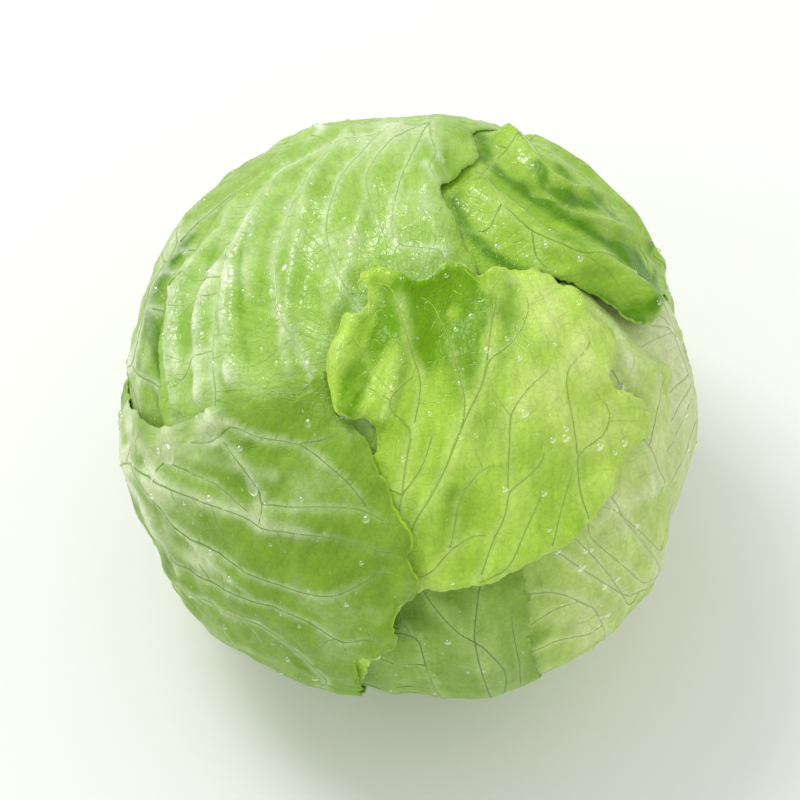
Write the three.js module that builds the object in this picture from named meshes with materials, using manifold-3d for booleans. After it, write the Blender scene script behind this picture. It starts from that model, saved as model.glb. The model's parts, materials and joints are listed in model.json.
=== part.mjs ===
// A head of iceberg lettuce standing on its cut stem: the stem, the dense heart and nine loose leaves.
// Millimetres, +Z up along the stem. The origin is the middle of the bottom, on the cut face's own plane.
// Every leaf is a sheet laid over a rounded heart. A leaf's rim is a closed line of directions from the
// head's middle, and its distance from the middle grows by one step for each leaf that it lies over.
import * as THREE from "three";
import { mergeVertices } from "three/addons/utils/BufferGeometryUtils.js";
import Module from "manifold-3d";

const wasm = await Module();
wasm.setup();

// Driving dimensions
const MIDDLE_HEIGHT = 76; // the head's middle above the surface that it stands on
const HEAD_RADIUS = 80; // the head's typical outer radius, which rims are measured on
const HEART_ACROSS = 76; // the heart's radius to the sides, towards the top and towards the stem
const HEART_UP = 74;
const HEART_DOWN = 63;
const HEART_SQUARENESS = 2.15; // 2 would be an exact ellipsoid
const LUMP_HEIGHT = 0.9;
const LEAN = 2.3; // how far the head sits to the front of its stem
const LEAF_THICKNESS = 1.0;
const RIM_THICKNESS = 0.7;
const LEAF_STEP = 1.6; // from one leaf's middle surface to the next one's
const DRAPE = { hold: 5, fade: 12 }; // past a lower leaf's rim an upper leaf stays up, then comes down
const FOLD_CLEAR = { hold: 5, fade: 7 }; // how far from a leaf above a fold stays flat, then rises
const POINT_SPACING = 10; // between the points that a leaf's faces are made of
const RIM_SPACING = 5.5;
const FOLD_SPACING = 6;
const HIDDEN_WAVE = { height: 1.5, long: 41, short: 17 }; // how the rims out of view wander
const FRILL = { lift: 1, height: 0.9, length: 16, width: 9 }; // how a free rim stands off in waves
const STEM_RADIUS = 16;
const STEM_CHAMFER = 1.5;
const STEM_SHOULDER = 9; // the stem narrows into its core above this height
const CORE_RADIUS = 11;
const CORE_HEIGHT = 58;
const STEM_SIDES = 28;
const SOCKET_GAP = 0.5;

// The view that the rims are described from: the camera looks down at this elevation, from the -Y side.
const VIEW_ELEVATION = THREE.MathUtils.degToRad(60);
const VIEW_DISTANCE = 1200;
const RIGHT = new THREE.Vector3(1, 0, 0);
const UP = new THREE.Vector3(0, Math.sin(VIEW_ELEVATION), Math.cos(VIEW_ELEVATION));
const TOWARDS = new THREE.Vector3(0, -Math.cos(VIEW_ELEVATION), Math.sin(VIEW_ELEVATION));

// The direction of the point on the head that shows at this place: millimetres right of and above its middle.
function seen(right, up) {
  const across = right * right + up * up + VIEW_DISTANCE ** 2;
  const depth = VIEW_DISTANCE ** 4 - across * (VIEW_DISTANCE ** 2 - HEAD_RADIUS ** 2);
  const along = (VIEW_DISTANCE ** 2 - Math.sqrt(Math.max(depth, 0))) / across;
  return new THREE.Vector3()
    .addScaledVector(RIGHT, right * along)
    .addScaledVector(UP, up * along)
    .addScaledVector(TOWARDS, VIEW_DISTANCE * (1 - along))
    .normalize();
}

// A direction by its angle round the stem's axis, from +X towards +Y, and its angle down from the top.
function round(azimuth, down) {
  const turn = THREE.MathUtils.degToRad(azimuth);
  const tilt = THREE.MathUtils.degToRad(down);
  return new THREE.Vector3(Math.sin(tilt) * Math.cos(turn), Math.sin(tilt) * Math.sin(turn), Math.cos(tilt));
}

// Where the heart bulges, or is pressed in, by how much and how widely.
const BULGES = [
  { middle: seen(36, -72), height: 3.4, width: 30 },
  { middle: seen(-52, -62), height: 1.8, width: 26 },
  { middle: seen(42, 68), height: 2, width: 24 },
  { middle: seen(-62, 50), height: 3.4, width: 22 },
  { middle: seen(72, -36), height: -3, width: 22 },
  { middle: seen(-5, 77), height: 2.2, width: 22 },
  { middle: round(20, 115), height: 2, width: 34 },
  { middle: round(135, 120), height: -1.6, width: 30 },
];

// The leaves from the innermost to the outermost. rim goes round the leaf. ridges are the midribs, folds and
// pleats that stand out of it: each is a line of directions, its height at both ends and its half width.
const LEAVES = [
  {
    name: "leaf_inner_right",
    colour: 0xc3d799,
    middle: round(-2, 92),
    rim: [
      round(-36, 161), round(-38, 130), seen(40, -30), seen(36, -5), seen(38, 22), seen(50, 44),
      round(30, 62), round(34, 88), round(32, 118), round(30, 142), round(38, 161), round(1, 161),
    ],
    ridges: [
      { line: [round(-8, 156), round(-2, 115), seen(77, 8), seen(71, 26)], heights: [3, 1.5], width: 6 },
    ],
  },
  {
    name: "leaf_back",
    colour: 0xb4cf86,
    middle: round(82, 92),
    rim: [
      round(54, 161), round(46, 142), round(34, 118), round(30, 90), round(40, 62), round(62, 46),
      round(92, 40), round(118, 50), round(132, 75), round(134, 100), round(124, 128), round(116, 146),
      round(112, 161), round(83, 161),
    ],
    ridges: [
      {
        line: [round(83, 156), round(82, 130), round(80, 100), round(82, 74)],
        heights: [3, 1.5],
        width: 7,
      },
    ],
  },
  {
    name: "leaf_back_left",
    colour: 0x9dbe5a,
    middle: round(158, 92),
    rim: [
      round(114, 161), round(112, 140), round(108, 112), round(106, 84), round(112, 60), seen(-34, 58),
      seen(-40, 38), seen(-43, 14), seen(-47, -10), seen(-60, -26), round(192, 112), round(188, 140),
      round(186, 161), round(150, 161),
    ],
    ridges: [
      {
        line: [round(158, 156), round(160, 130), round(164, 105), seen(-75, 10), seen(-70, 30)],
        heights: [3, 1.6],
        width: 6,
      },
      { line: [seen(-75, -2), seen(-71, 14), seen(-69, 32), seen(-60, 50)], heights: [1, 2], width: 3.5 },
      { line: [round(148, 140), round(142, 110), round(140, 84)], heights: [1.6, 0.8], width: 5 },
    ],
  },
  {
    name: "leaf_right",
    colour: 0xadc97c,
    middle: seen(46, -18),
    rim: [
      round(-12, 161), round(-6, 138), round(-7, 118), seen(71, -35), seen(70, -24), seen(70, -16),
      seen(71, -6), seen(71.5, 4), seen(72, 9), seen(70, 11.5), seen(67, 12), seen(63, 16), seen(57, 23),
      seen(52, 29), seen(46, 34), seen(38, 33), seen(30, 22), seen(22, 4), seen(16, -16), seen(13, -38),
      seen(14, -60), round(-78, 128), round(-72, 146), round(-66, 161), round(-39, 161),
    ],
    ridges: [
      {
        line: [round(-38, 156), round(-38, 135), seen(66, -44), seen(52, -24), seen(44, 0)],
        heights: [3, 1.2],
        width: 6,
      },
      { line: [seen(67, 9), seen(66, -2), seen(65, -14), seen(65, -26)], heights: [1.4, 1], width: 3 },
      { line: [seen(56, 19), seen(60, 10), seen(61, 0)], heights: [1.4, 1], width: 4 },
      { line: [round(-52, 140), seen(46, -62), seen(44, -48)], heights: [1.8, 1], width: 4.5 },
    ],
  },
  {
    name: "leaf_folded",
    colour: 0x8fb740,
    middle: seen(44, 52),
    rim: [
      round(32, 161), round(26, 138), round(22, 112), round(20, 88), seen(70.5, 31), seen(69.5, 27),
      seen(66.5, 23), seen(62, 21.5), seen(56, 25), seen(49, 30.5), seen(41, 35), seen(34, 37),
      seen(26, 38), seen(18, 36), seen(8, 42), seen(4, 54), seen(5, 67), seen(9, 76), round(80, 60),
      round(76, 88), round(76, 118), round(76, 140), round(78, 161), round(55, 161),
    ],
    ridges: [
      {
        line: [
          seen(14, 65.6), seen(20.1, 59.8), seen(27.5, 53.7), seen(35.8, 46.8), seen(44.9, 41.3),
          seen(54.3, 36.4), seen(63.4, 29.2),
        ],
        heights: [4, 5.6],
        width: 5,
      },
      {
        line: [seen(25.6, 74.7), seen(31.7, 70), seen(38, 64.2), seen(44.6, 60.3), seen(52.9, 58.1)],
        heights: [4, 2.6],
        width: 3.2,
      },
      {
        line: [
          seen(33.9, 74.7), seen(41.3, 70.8), seen(48.8, 65.3), seen(55.1, 59), seen(62, 51.5),
          seen(67.2, 44.4), seen(70, 39.1),
        ],
        heights: [2.2, 1.8],
        width: 3.6,
      },
      {
        line: [seen(39.4, 56.5), seen(46.8, 52.6), seen(53.2, 50.4), seen(60.6, 47.7), seen(66.7, 43.5)],
        heights: [2.4, 2.4],
        width: 2.6,
      },
      {
        line: [seen(70.2, 39.1), seen(71.1, 32), seen(68, 25.3), seen(61.7, 21.8)],
        heights: [1.8, 2.4],
        width: 2.8,
      },
      { line: [round(50, 156), round(50, 120), round(52, 84)], heights: [3, 1.4], width: 7 },
      { line: [round(64, 146), round(64, 116), round(66, 88)], heights: [1.6, 0.8], width: 5 },
    ],
  },
  {
    name: "leaf_bottom",
    colour: 0x7d9d51,
    middle: seen(6, -62),
    rim: [
      round(-56, 161), round(-54, 146), round(-57, 128), seen(35, -73), seen(33, -69), seen(32, -65),
      seen(32, -59), seen(32, -53), seen(31, -48), seen(29, -42), seen(22, -34), seen(12, -31),
      seen(2, -34), seen(-8, -42), seen(-17, -52), seen(-25, -64), round(-112, 126), round(-110, 146),
      round(-108, 161), round(-82, 161),
    ],
    ridges: [
      {
        line: [round(-76, 156), round(-74, 135), seen(22, -70), seen(12, -57), seen(4, -48)],
        heights: [3, 1],
        width: 5.5,
      },
      {
        line: [round(-92, 148), round(-96, 130), seen(-4, -74), seen(-2, -60)],
        heights: [1.6, 1],
        width: 4.5,
      },
    ],
  },
  {
    name: "leaf_crown",
    colour: 0xbddb92,
    middle: round(112, 38),
    rim: [
      round(76, 161), round(70, 142), round(62, 118), round(58, 92), round(64, 66), seen(17.5, 75),
      seen(19, 70), seen(14, 65.5), seen(9, 61), seen(10.5, 56.5), seen(12.5, 52.5), seen(14.5, 47.5),
      seen(17.5, 42), seen(19.5, 37), seen(17, 26), seen(10, 14), seen(4, 2), seen(-2, -12),
      seen(-12, -22), seen(-30, -24), seen(-50, -24), seen(-62, -18), seen(-66.5, -6), seen(-68, 10),
      seen(-67, 28), seen(-61, 40), seen(-53, 53), seen(-42, 65.5), seen(-31, 74), round(128, 74),
      round(134, 96), round(126, 120), round(118, 142), round(114, 161), round(95, 161),
    ],
    ridges: [
      {
        line: [round(122, 84), seen(-34, 73), seen(-52, 50), seen(-64, 32), seen(-65, 14), seen(-62, -2)],
        heights: [1.6, 2.8],
        width: 2.8,
      },
      {
        line: [round(112, 76), seen(-24, 75), seen(-43, 56), seen(-50.5, 43), seen(-52, 28), seen(-48, 2)],
        heights: [1.8, 2.6],
        width: 3,
      },
      {
        line: [seen(-52, 42), seen(-58.5, 28), seen(-58, 10), seen(-56, -2)],
        heights: [1.4, 1.8],
        width: 2.4,
      },
      {
        line: [seen(-16, 76), seen(-30, 60), seen(-34, 40), seen(-36, 18), seen(-33, 4)],
        heights: [1.8, 1.4],
        width: 3.6,
      },
      {
        line: [seen(-4, 76), seen(-14, 56), seen(-20, 34), seen(-24, 12)],
        heights: [1.8, 1.2],
        width: 4.2,
      },
      { line: [seen(8, 74), seen(4, 58), seen(10, 44)], heights: [1.6, 1.6], width: 4 },
      {
        line: [round(94, 156), round(94, 125), round(94, 92), round(98, 66)],
        heights: [3.2, 1.8],
        width: 8,
      },
      { line: [round(78, 120), round(76, 96), round(80, 74)], heights: [1.2, 1.4], width: 5 },
    ],
  },
  {
    name: "leaf_front",
    colour: 0xa0c84e,
    middle: seen(15, 9),
    rim: [
      seen(-14, 35.5), seen(-11.5, 37.5), seen(-8, 38.3), seen(-4.5, 37.6), seen(-1.5, 36), seen(0.5, 34),
      seen(3.5, 34.5), seen(7.5, 37), seen(11, 39.3), seen(15, 37.5), seen(18.5, 35.7), seen(21, 36.6),
      seen(26, 37.3), seen(31, 37.2), seen(36, 35.8), seen(40, 32.8), seen(43.8, 31), seen(45.5, 28),
      seen(47.7, 23), seen(51, 21.5), seen(53.5, 20), seen(54.5, 16), seen(54.2, 11.5), seen(52.6, 8),
      seen(54.2, 5), seen(56.4, 3), seen(59.3, 1.6), seen(62, 1), seen(63.8, -2.2), seen(63.3, -5.2),
      seen(60, -10.5), seen(56.7, -14.6), seen(53.4, -20.4), seen(51, -25), seen(47.7, -29.5),
      seen(43.3, -33.9), seen(40, -36.6), seen(36, -38.6), seen(28, -42.4), seen(21.8, -46.3),
      seen(15, -48), seen(8.8, -49.3), seen(2.2, -50), seen(-6, -60), round(-104, 124), round(-106, 146),
      round(-106, 161), round(-124, 161), round(-142, 161), round(-144, 144), seen(-46, -62),
      seen(-37, -42), seen(-28, -28), seen(-20, -21), seen(-13, -16.5), seen(-9.4, -12.5), seen(-9.8, -8),
      seen(-12, -4.2), seen(-16, -3.6), seen(-19.4, -1.5), seen(-20.7, 3.5), seen(-22.6, 9.6),
      seen(-21.5, 17.5), seen(-19.4, 22), seen(-17.2, 25), seen(-14, 24.4), seen(-12.2, 27),
      seen(-11.6, 30.5), seen(-12.7, 33.2),
    ],
    ridges: [
      { line: [seen(-13, 34), seen(-17, 22), seen(-20, 8), seen(-18, -2)], heights: [4, 5], width: 3.2 },
      { line: [seen(-3, 32), seen(-1, 20), seen(-5, 6), seen(-7, -4)], heights: [3, 2.4], width: 3.6 },
      { line: [seen(-9, 37), seen(0, 34), seen(10, 38), seen(24, 37)], heights: [3, 2.4], width: 2.6 },
      { line: [seen(46, 26), seen(52, 10), seen(60, -2)], heights: [1.6, 1.6], width: 5 },
      { line: [seen(52, -22), seen(38, -36), seen(20, -45)], heights: [2, 2.2], width: 5 },
      { line: [seen(0, -44), seen(14, -10), seen(20, 8), seen(24, 26)], heights: [1.8, 1.4], width: 5.5 },
    ],
  },
  {
    name: "leaf_left",
    colour: 0x88ab4b,
    middle: seen(-46, -46),
    rim: [
      round(171, 88), seen(-76, -1), seen(-71, -4), seen(-65, -6.2), seen(-59, -4.4), seen(-54, -2),
      seen(-47, 0.6), seen(-39, 2.4), seen(-31, 3.4), seen(-27.4, 6), seen(-25.4, 9.6), seen(-23.8, 9.2),
      seen(-22.6, 4), seen(-21.6, -1), seen(-19.4, -4.6), seen(-15.8, -6.4), seen(-12.6, -9.4),
      seen(-10.4, -14), seen(-8.6, -18.6), seen(-6.4, -21), seen(-5, -26), seen(-2.6, -30),
      seen(0.4, -34), seen(0.6, -37), seen(-0.7, -40), seen(1, -44), seen(2.4, -47), seen(0.4, -50),
      seen(-3, -53), seen(-4.3, -56.4), seen(-3.6, -60), seen(-4.6, -63.6), seen(-8.4, -65.2),
      seen(-12.2, -65.8), seen(-14.6, -67.4), seen(-13.8, -70.8), seen(-12.8, -74), seen(-13.4, -77),
      round(-101, 126), round(-112, 144), round(-128, 161), round(-157, 161), round(-186, 161),
      round(172, 142), round(164, 118), round(163, 100),
    ],
    ridges: [
      {
        line: [
          round(-160, 156), round(-168, 128), seen(-76, -16), seen(-66, -19), seen(-50, -26), seen(-24, -35),
        ],
        heights: [3.2, 0.8],
        width: 5.5,
      },
      {
        line: [round(-140, 146), seen(-68, -46), seen(-56, -58), seen(-40, -66)],
        heights: [2.2, 1.2],
        width: 4,
      },
      {
        line: [seen(-72, -10), seen(-58, -12), seen(-46, -16), seen(-34, -20)],
        heights: [1.8, 1],
        width: 4,
      },
      { line: [seen(-50, -34), seen(-32, -46), seen(-18, -50)], heights: [1.2, 1.4], width: 4.5 },
      {
        line: [seen(-4, -30), seen(-1, -40), seen(-2, -52), seen(-10, -64)],
        heights: [1.4, 1.4],
        width: 3.4,
      },
    ],
  },
];

// Below this line of the view the left leaf lies over the front leaf, and above it the front leaf's curl lies
// over the left leaf. The line runs up to the right through the place where the two rims cross.
const CROSSING = { right: -13.5, up: -4.7, blend: 2 };
const FRONT = LEAVES.find((leaf) => leaf.name === "leaf_front");
const LEFT = LEAVES.find((leaf) => leaf.name === "leaf_left");

const smooth = THREE.MathUtils.smoothstep;
const nearest = new THREE.Vector3();

// A flat map of the directions round a leaf's middle, which keeps circles circles.
function flat(leaf, d) {
  return new THREE.Vector2(d.dot(leaf.ahead), d.dot(leaf.aside)).divideScalar(1 + d.dot(leaf.middle));
}

// A line of directions as straight pieces on the head's typical radius.
function pieces(directions) {
  const points = directions.map((d) => d.clone().multiplyScalar(HEAD_RADIUS));
  return points.slice(1).map((end, i) => new THREE.Line3(points[i], end));
}

// Readies a leaf: its axes, its rim as evenly spaced points, and its folds as straight pieces.
function laidOut(leaf) {
  leaf.ahead = new THREE.Vector3(0, 0, 1).projectOnPlane(leaf.middle).normalize();
  leaf.aside = new THREE.Vector3().crossVectors(leaf.middle, leaf.ahead);
  const curve = new THREE.CatmullRomCurve3(leaf.rim, true, "centripetal");
  curve.arcLengthDivisions = 2000;
  const count = Math.round((curve.getLength() * HEAD_RADIUS) / RIM_SPACING);
  const spaced = curve.getSpacedPoints(count).slice(0, count);
  leaf.border = spaced.map((point, i) => {
    const outwards = spaced[(i + 1) % count].clone().sub(spaced.at(i - 1)).cross(point).normalize();
    const turn = 2 * Math.PI * i * RIM_SPACING;
    const waves = Math.sin(turn / HIDDEN_WAVE.long) + Math.sin(turn / HIDDEN_WAVE.short);
    const hidden = smooth(-point.dot(TOWARDS), 0.05, 0.3);
    const shift = (HIDDEN_WAVE.height * waves * hidden) / HEAD_RADIUS;
    return point.clone().addScaledVector(outwards, shift).normalize();
  });
  leaf.sides = pieces([...leaf.border, leaf.border[0]]);
  leaf.outline = leaf.border.map((d) => flat(leaf, d));
  leaf.waves = Math.round((count * RIM_SPACING) / FRILL.length);
  for (const ridge of leaf.ridges) ridge.parts = pieces(ridge.line);
}

// How far a place is from a line of straight pieces, and how far along the line the nearest point is.
function nearestOn(parts, place) {
  let off = Infinity;
  let along = 0;
  parts.forEach((part, i) => {
    const share = part.closestPointToPointParameter(place, true);
    const gap = part.at(share, nearest).distanceTo(place);
    if (gap < off) {
      off = gap;
      along = (i + share) / parts.length;
    }
  });
  return { off, along };
}

// Whether a direction is on the leaf, how far it is from the rim, and how far round the rim that is.
function toRim(leaf, d) {
  const { off, along } = nearestOn(leaf.sides, d.clone().multiplyScalar(HEAD_RADIUS));
  const { x, y } = flat(leaf, d);
  let inside = false;
  leaf.outline.forEach((from, i) => {
    const to = leaf.outline[(i + 1) % leaf.outline.length];
    if (from.y > y === to.y > y) return;
    if (x < from.x + ((to.x - from.x) * (y - from.y)) / (to.y - from.y)) inside = !inside;
  });
  return { off, along, inside };
}

// 1 on the leaf and close to it, falling to 0 past its rim.
function cover(leaf, d, { hold, fade }) {
  const { off, inside } = toRim(leaf, d);
  return inside ? 1 : 1 - smooth(off, hold, hold + fade);
}

// The heart's own distance from the middle in each direction, lumps included.
function heartReach(d) {
  const tall = d.z > 0 ? HEART_UP : HEART_DOWN;
  const side = (Math.hypot(d.x, d.y) / HEART_ACROSS) ** HEART_SQUARENESS;
  const reach = (side + (Math.abs(d.z) / tall) ** HEART_SQUARENESS) ** (-1 / HEART_SQUARENESS);
  let bulges = LEAN * -d.dot(UP);
  for (const { middle, height, width } of BULGES) {
    bulges += height * Math.exp(-(((d.angleTo(middle) * HEAD_RADIUS) / width) ** 2));
  }
  const lumps = Math.sin(4.1 * d.x + 1.3) * Math.sin(3.7 * d.y + 0.4) + Math.sin(5.3 * d.z + 2 * d.x + 0.9);
  return reach + LUMP_HEIGHT * lumps + bulges;
}

// How far a leaf's folds and its waved rim lift it here.
function relief(leaf, d) {
  const place = d.clone().multiplyScalar(HEAD_RADIUS);
  let lift = 0;
  for (const { parts, heights, width } of leaf.ridges) {
    const fold = nearestOn(parts, place);
    lift += THREE.MathUtils.lerp(...heights, fold.along) * Math.exp(-((fold.off / width) ** 2));
  }
  const { off, along } = toRim(leaf, d);
  const wave = FRILL.lift + FRILL.height * Math.sin(2 * Math.PI * leaf.waves * along);
  return lift + wave * (1 - smooth(off, 0, FRILL.width)) * smooth(d.z, -0.75, -0.3);
}

// The share of the left leaf that lies over the front leaf here.
function leftOver(d) {
  const side = d.dot(RIGHT) * HEAD_RADIUS - CROSSING.right - (d.dot(UP) * HEAD_RADIUS - CROSSING.up);
  return smooth(side * Math.SQRT1_2, -CROSSING.blend, CROSSING.blend);
}

// The share of the lower leaf's step that lifts the upper leaf here.
function liesOver(upper, lower, d) {
  if (upper === LEFT && lower === FRONT) return leftOver(d);
  if (upper === FRONT && lower === LEFT) return 1 - leftOver(d);
  return LEAVES.indexOf(upper) > LEAVES.indexOf(lower) ? 1 : 0;
}

// The distance of a leaf's middle surface from the head's middle.
function leafReach(leaf, d) {
  let reach = heartReach(d) + LEAF_STEP;
  let bare = 1;
  for (const other of LEAVES) {
    if (other === leaf) continue;
    const over = liesOver(leaf, other, d);
    if (over > 0) reach += LEAF_STEP * over * cover(other, d, DRAPE);
    if (over < 1) bare *= 1 - (1 - over) * cover(other, d, FOLD_CLEAR);
  }
  return reach + bare * relief(leaf, d);
}

// Directions spread evenly over the whole ball.
function evenDirections() {
  const count = Math.round((4 * Math.PI * HEAD_RADIUS ** 2) / (POINT_SPACING ** 2 * Math.sin(Math.PI / 3)));
  const turn = Math.PI * (3 - Math.sqrt(5));
  return Array.from({ length: count }, (_, i) => {
    const height = 1 - (2 * i + 1) / count;
    const wide = Math.sqrt(1 - height ** 2);
    return new THREE.Vector3(wide * Math.cos(turn * i), wide * Math.sin(turn * i), height);
  });
}

// The directions along a fold's crest and along both its feet.
function foldDirections({ parts, width }) {
  const found = [];
  for (const part of parts) {
    const steps = Math.max(1, Math.round(part.distance() / FOLD_SPACING));
    const aside = part.delta(new THREE.Vector3()).cross(part.start).normalize();
    for (let i = 0; i < steps; i++) {
      const crest = part.at(i / steps, new THREE.Vector3());
      for (const off of [0, -width, width]) found.push(crest.clone().addScaledVector(aside, off).normalize());
    }
  }
  return found;
}

// The points of a leaf's faces, the rim's first. Points on folds come before the evenly spread ones.
function leafDirections(leaf) {
  const chosen = [];
  const take = (directions, apart) => {
    for (const d of directions) {
      const { off, inside } = toRim(leaf, d);
      const free = chosen.every((other) => other.distanceTo(d) * HEAD_RADIUS > apart);
      if (inside && off > RIM_SPACING * 0.8 && free) chosen.push(d);
    }
  };
  for (const ridge of leaf.ridges) take(foldDirections(ridge), FOLD_SPACING * 0.6);
  take(evenDirections(), POINT_SPACING * 0.68);
  return [...leaf.border, ...chosen];
}

// A triangle of a flat set of points, with the circle through its corners.
function circled(points, corners) {
  const [a, b, c] = corners.map((i) => points[i]);
  const toB = b.clone().sub(a);
  const toC = c.clone().sub(a);
  const doubled = 2 * toB.cross(toC);
  const centre = new THREE.Vector2(
    (toC.y * toB.lengthSq() - toB.y * toC.lengthSq()) / doubled,
    (toB.x * toC.lengthSq() - toC.x * toB.lengthSq()) / doubled,
  );
  return { corners, centre: centre.clone().add(a), radiusSq: centre.lengthSq() };
}

// Joins flat points into triangles whose circles hold no other point.
function triangulated(points) {
  const far = 1000;
  const around = [new THREE.Vector2(-far, -far), new THREE.Vector2(far, -far), new THREE.Vector2(0, far)];
  const all = [...points, ...around];
  const first = points.length;
  let triangles = [circled(all, [first, first + 1, first + 2])];
  points.forEach((point, p) => {
    const hole = new Map();
    triangles = triangles.filter(({ corners, centre, radiusSq }) => {
      if (point.distanceToSquared(centre) > radiusSq) return true;
      corners.forEach((from, i) => {
        const to = corners[(i + 1) % 3];
        if (!hole.delete(`${to} ${from}`)) hole.set(`${from} ${to}`, [from, to]);
      });
      return false;
    });
    for (const [from, to] of hole.values()) triangles.push(circled(all, [from, to, p]));
  });
  return triangles.map(({ corners }) => corners).filter((corners) => corners.every((i) => i < first));
}

// A leaf as a closed sheet: an outer and an inner face of the same triangles, joined along the rim.
function leafGeometry(leaf) {
  const directions = leafDirections(leaf);
  const onLeaf = ([a, b, c]) => {
    const middle = directions[a].clone().add(directions[b]).add(directions[c]).normalize();
    return toRim(leaf, middle).inside;
  };
  const faces = triangulated(directions.map((d) => flat(leaf, d))).filter(onLeaf);
  const outer = [];
  const inner = [];
  directions.forEach((d, i) => {
    const thickness = i < leaf.border.length ? RIM_THICKNESS : LEAF_THICKNESS;
    const reach = leafReach(leaf, d);
    outer.push(d.clone().multiplyScalar(reach + thickness / 2));
    inner.push(d.clone().multiplyScalar(reach - thickness / 2));
  });
  const under = directions.length;
  const index = [];
  const edges = new Map();
  for (const corners of faces) {
    const [a, b, c] = corners;
    index.push(a, b, c, under + a, under + c, under + b);
    corners.forEach((from, i) => {
      const to = corners[(i + 1) % 3];
      if (!edges.delete(`${to} ${from}`)) edges.set(`${from} ${to}`, [from, to]);
    });
  }
  for (const [from, to] of edges.values()) index.push(from, under + to, to, from, under + from, under + to);
  return solidGeometry([...outer, ...inner], index);
}

function solidGeometry(points, index) {
  const geometry = new THREE.BufferGeometry().setFromPoints(points);
  geometry.setIndex(index);
  return geometry;
}

// A closed geometry as a solid, and back.
function solidOf(geometry) {
  const bare = new THREE.BufferGeometry().setAttribute("position", geometry.getAttribute("position"));
  bare.setIndex(geometry.index);
  const merged = mergeVertices(bare, 1e-4);
  return new wasm.Manifold(
    new wasm.Mesh({
      numProp: 3,
      vertProperties: new Float32Array(merged.attributes.position.array),
      triVerts: new Uint32Array(merged.index.array),
    }),
  );
}

function geometryOf(solid) {
  const mesh = solid.getMesh();
  const geometry = new THREE.BufferGeometry();
  geometry.setAttribute("position", new THREE.BufferAttribute(mesh.vertProperties, mesh.numProp));
  geometry.setIndex(new THREE.BufferAttribute(mesh.triVerts, 1));
  return geometry;
}

// The stem from its cut face to the tip of its core, widened all round by a margin.
function stemGeometry(margin) {
  const profile = [
    [0, -margin],
    [STEM_RADIUS - STEM_CHAMFER + margin, -margin],
    [STEM_RADIUS + margin, STEM_CHAMFER],
    [STEM_RADIUS + margin, STEM_SHOULDER],
    [CORE_RADIUS + margin, 2 * STEM_SHOULDER],
    [CORE_RADIUS * 0.8 + margin, CORE_HEIGHT * 0.7],
    [CORE_RADIUS * 0.4 + margin, CORE_HEIGHT * 0.94],
    [0, CORE_HEIGHT + margin],
  ];
  const turned = new THREE.LatheGeometry(profile.map(([r, z]) => new THREE.Vector2(r, z)), STEM_SIDES);
  return turned.rotateX(Math.PI / 2);
}

// The edges of the tightly folded inner leaves, which wind round the heart as low steps.
const INNER_FOLDS = { count: 5, turn: 137.5, down: 62, spread: 0.95, height: 1, fade: 7 };

function innerFolds(d) {
  let height = 0;
  for (let i = 0; i < INNER_FOLDS.count; i++) {
    const middle = round(i * INNER_FOLDS.turn, INNER_FOLDS.down);
    const off = (Math.acos(THREE.MathUtils.clamp(d.dot(middle), -1, 1)) - INNER_FOLDS.spread) * HEAD_RADIUS;
    height += INNER_FOLDS.height * (1 - smooth(off, 0, INNER_FOLDS.fade));
  }
  return height - INNER_FOLDS.count * INNER_FOLDS.height;
}

// The heart, with a socket from below for the stem's core.
function heartGeometry() {
  const ball = new THREE.IcosahedronGeometry(1, 7);
  const points = ball.getAttribute("position");
  const d = new THREE.Vector3();
  for (let i = 0; i < points.count; i++) {
    d.fromBufferAttribute(points, i).normalize();
    d.multiplyScalar(heartReach(d) + innerFolds(d));
    points.setXYZ(i, d.x, d.y, d.z);
  }
  const bare = new THREE.BufferGeometry().setAttribute("position", points);
  const merged = mergeVertices(bare, 1e-3);
  const socket = solidOf(stemGeometry(SOCKET_GAP).translate(0, 0, -MIDDLE_HEIGHT));
  return geometryOf(solidOf(merged).subtract(socket));
}

function mesh(name, geometry, colour, roughness) {
  geometry.computeVertexNormals();
  const material = new THREE.MeshStandardMaterial({ color: colour, roughness, metalness: 0 });
  const made = new THREE.Mesh(geometry, material);
  made.name = name;
  return made;
}

LEAVES.forEach(laidOut);

const lettuce = new THREE.Group();
lettuce.add(mesh("stem", stemGeometry(0), 0xdfe3c4, 0.6));
const head = new THREE.Group();
head.position.z = MIDDLE_HEIGHT;
head.add(mesh("heart", heartGeometry(), 0xd3dfae, 0.5));
for (const leaf of LEAVES) head.add(mesh(leaf.name, leafGeometry(leaf), leaf.colour, 0.45));
lettuce.add(head);

export default lettuce;
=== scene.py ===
"""A head of iceberg lettuce, dressed for its picture: leaves with veins and dew, a heart and a cut stem.

Every length in the classes is in millimetres unless its text says otherwise, and the meshes are made in
metres. Directions start at the head's middle, as they do in the part's source, and a surface is a distance
from that middle in each direction.
"""

import json
import logging
import math
from collections.abc import Callable
from dataclasses import dataclass, field
from enum import Enum

import bmesh
import bpy
import numpy as np
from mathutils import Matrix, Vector, kdtree, noise
from mathutils.geometry import delaunay_2d_cdt

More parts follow.
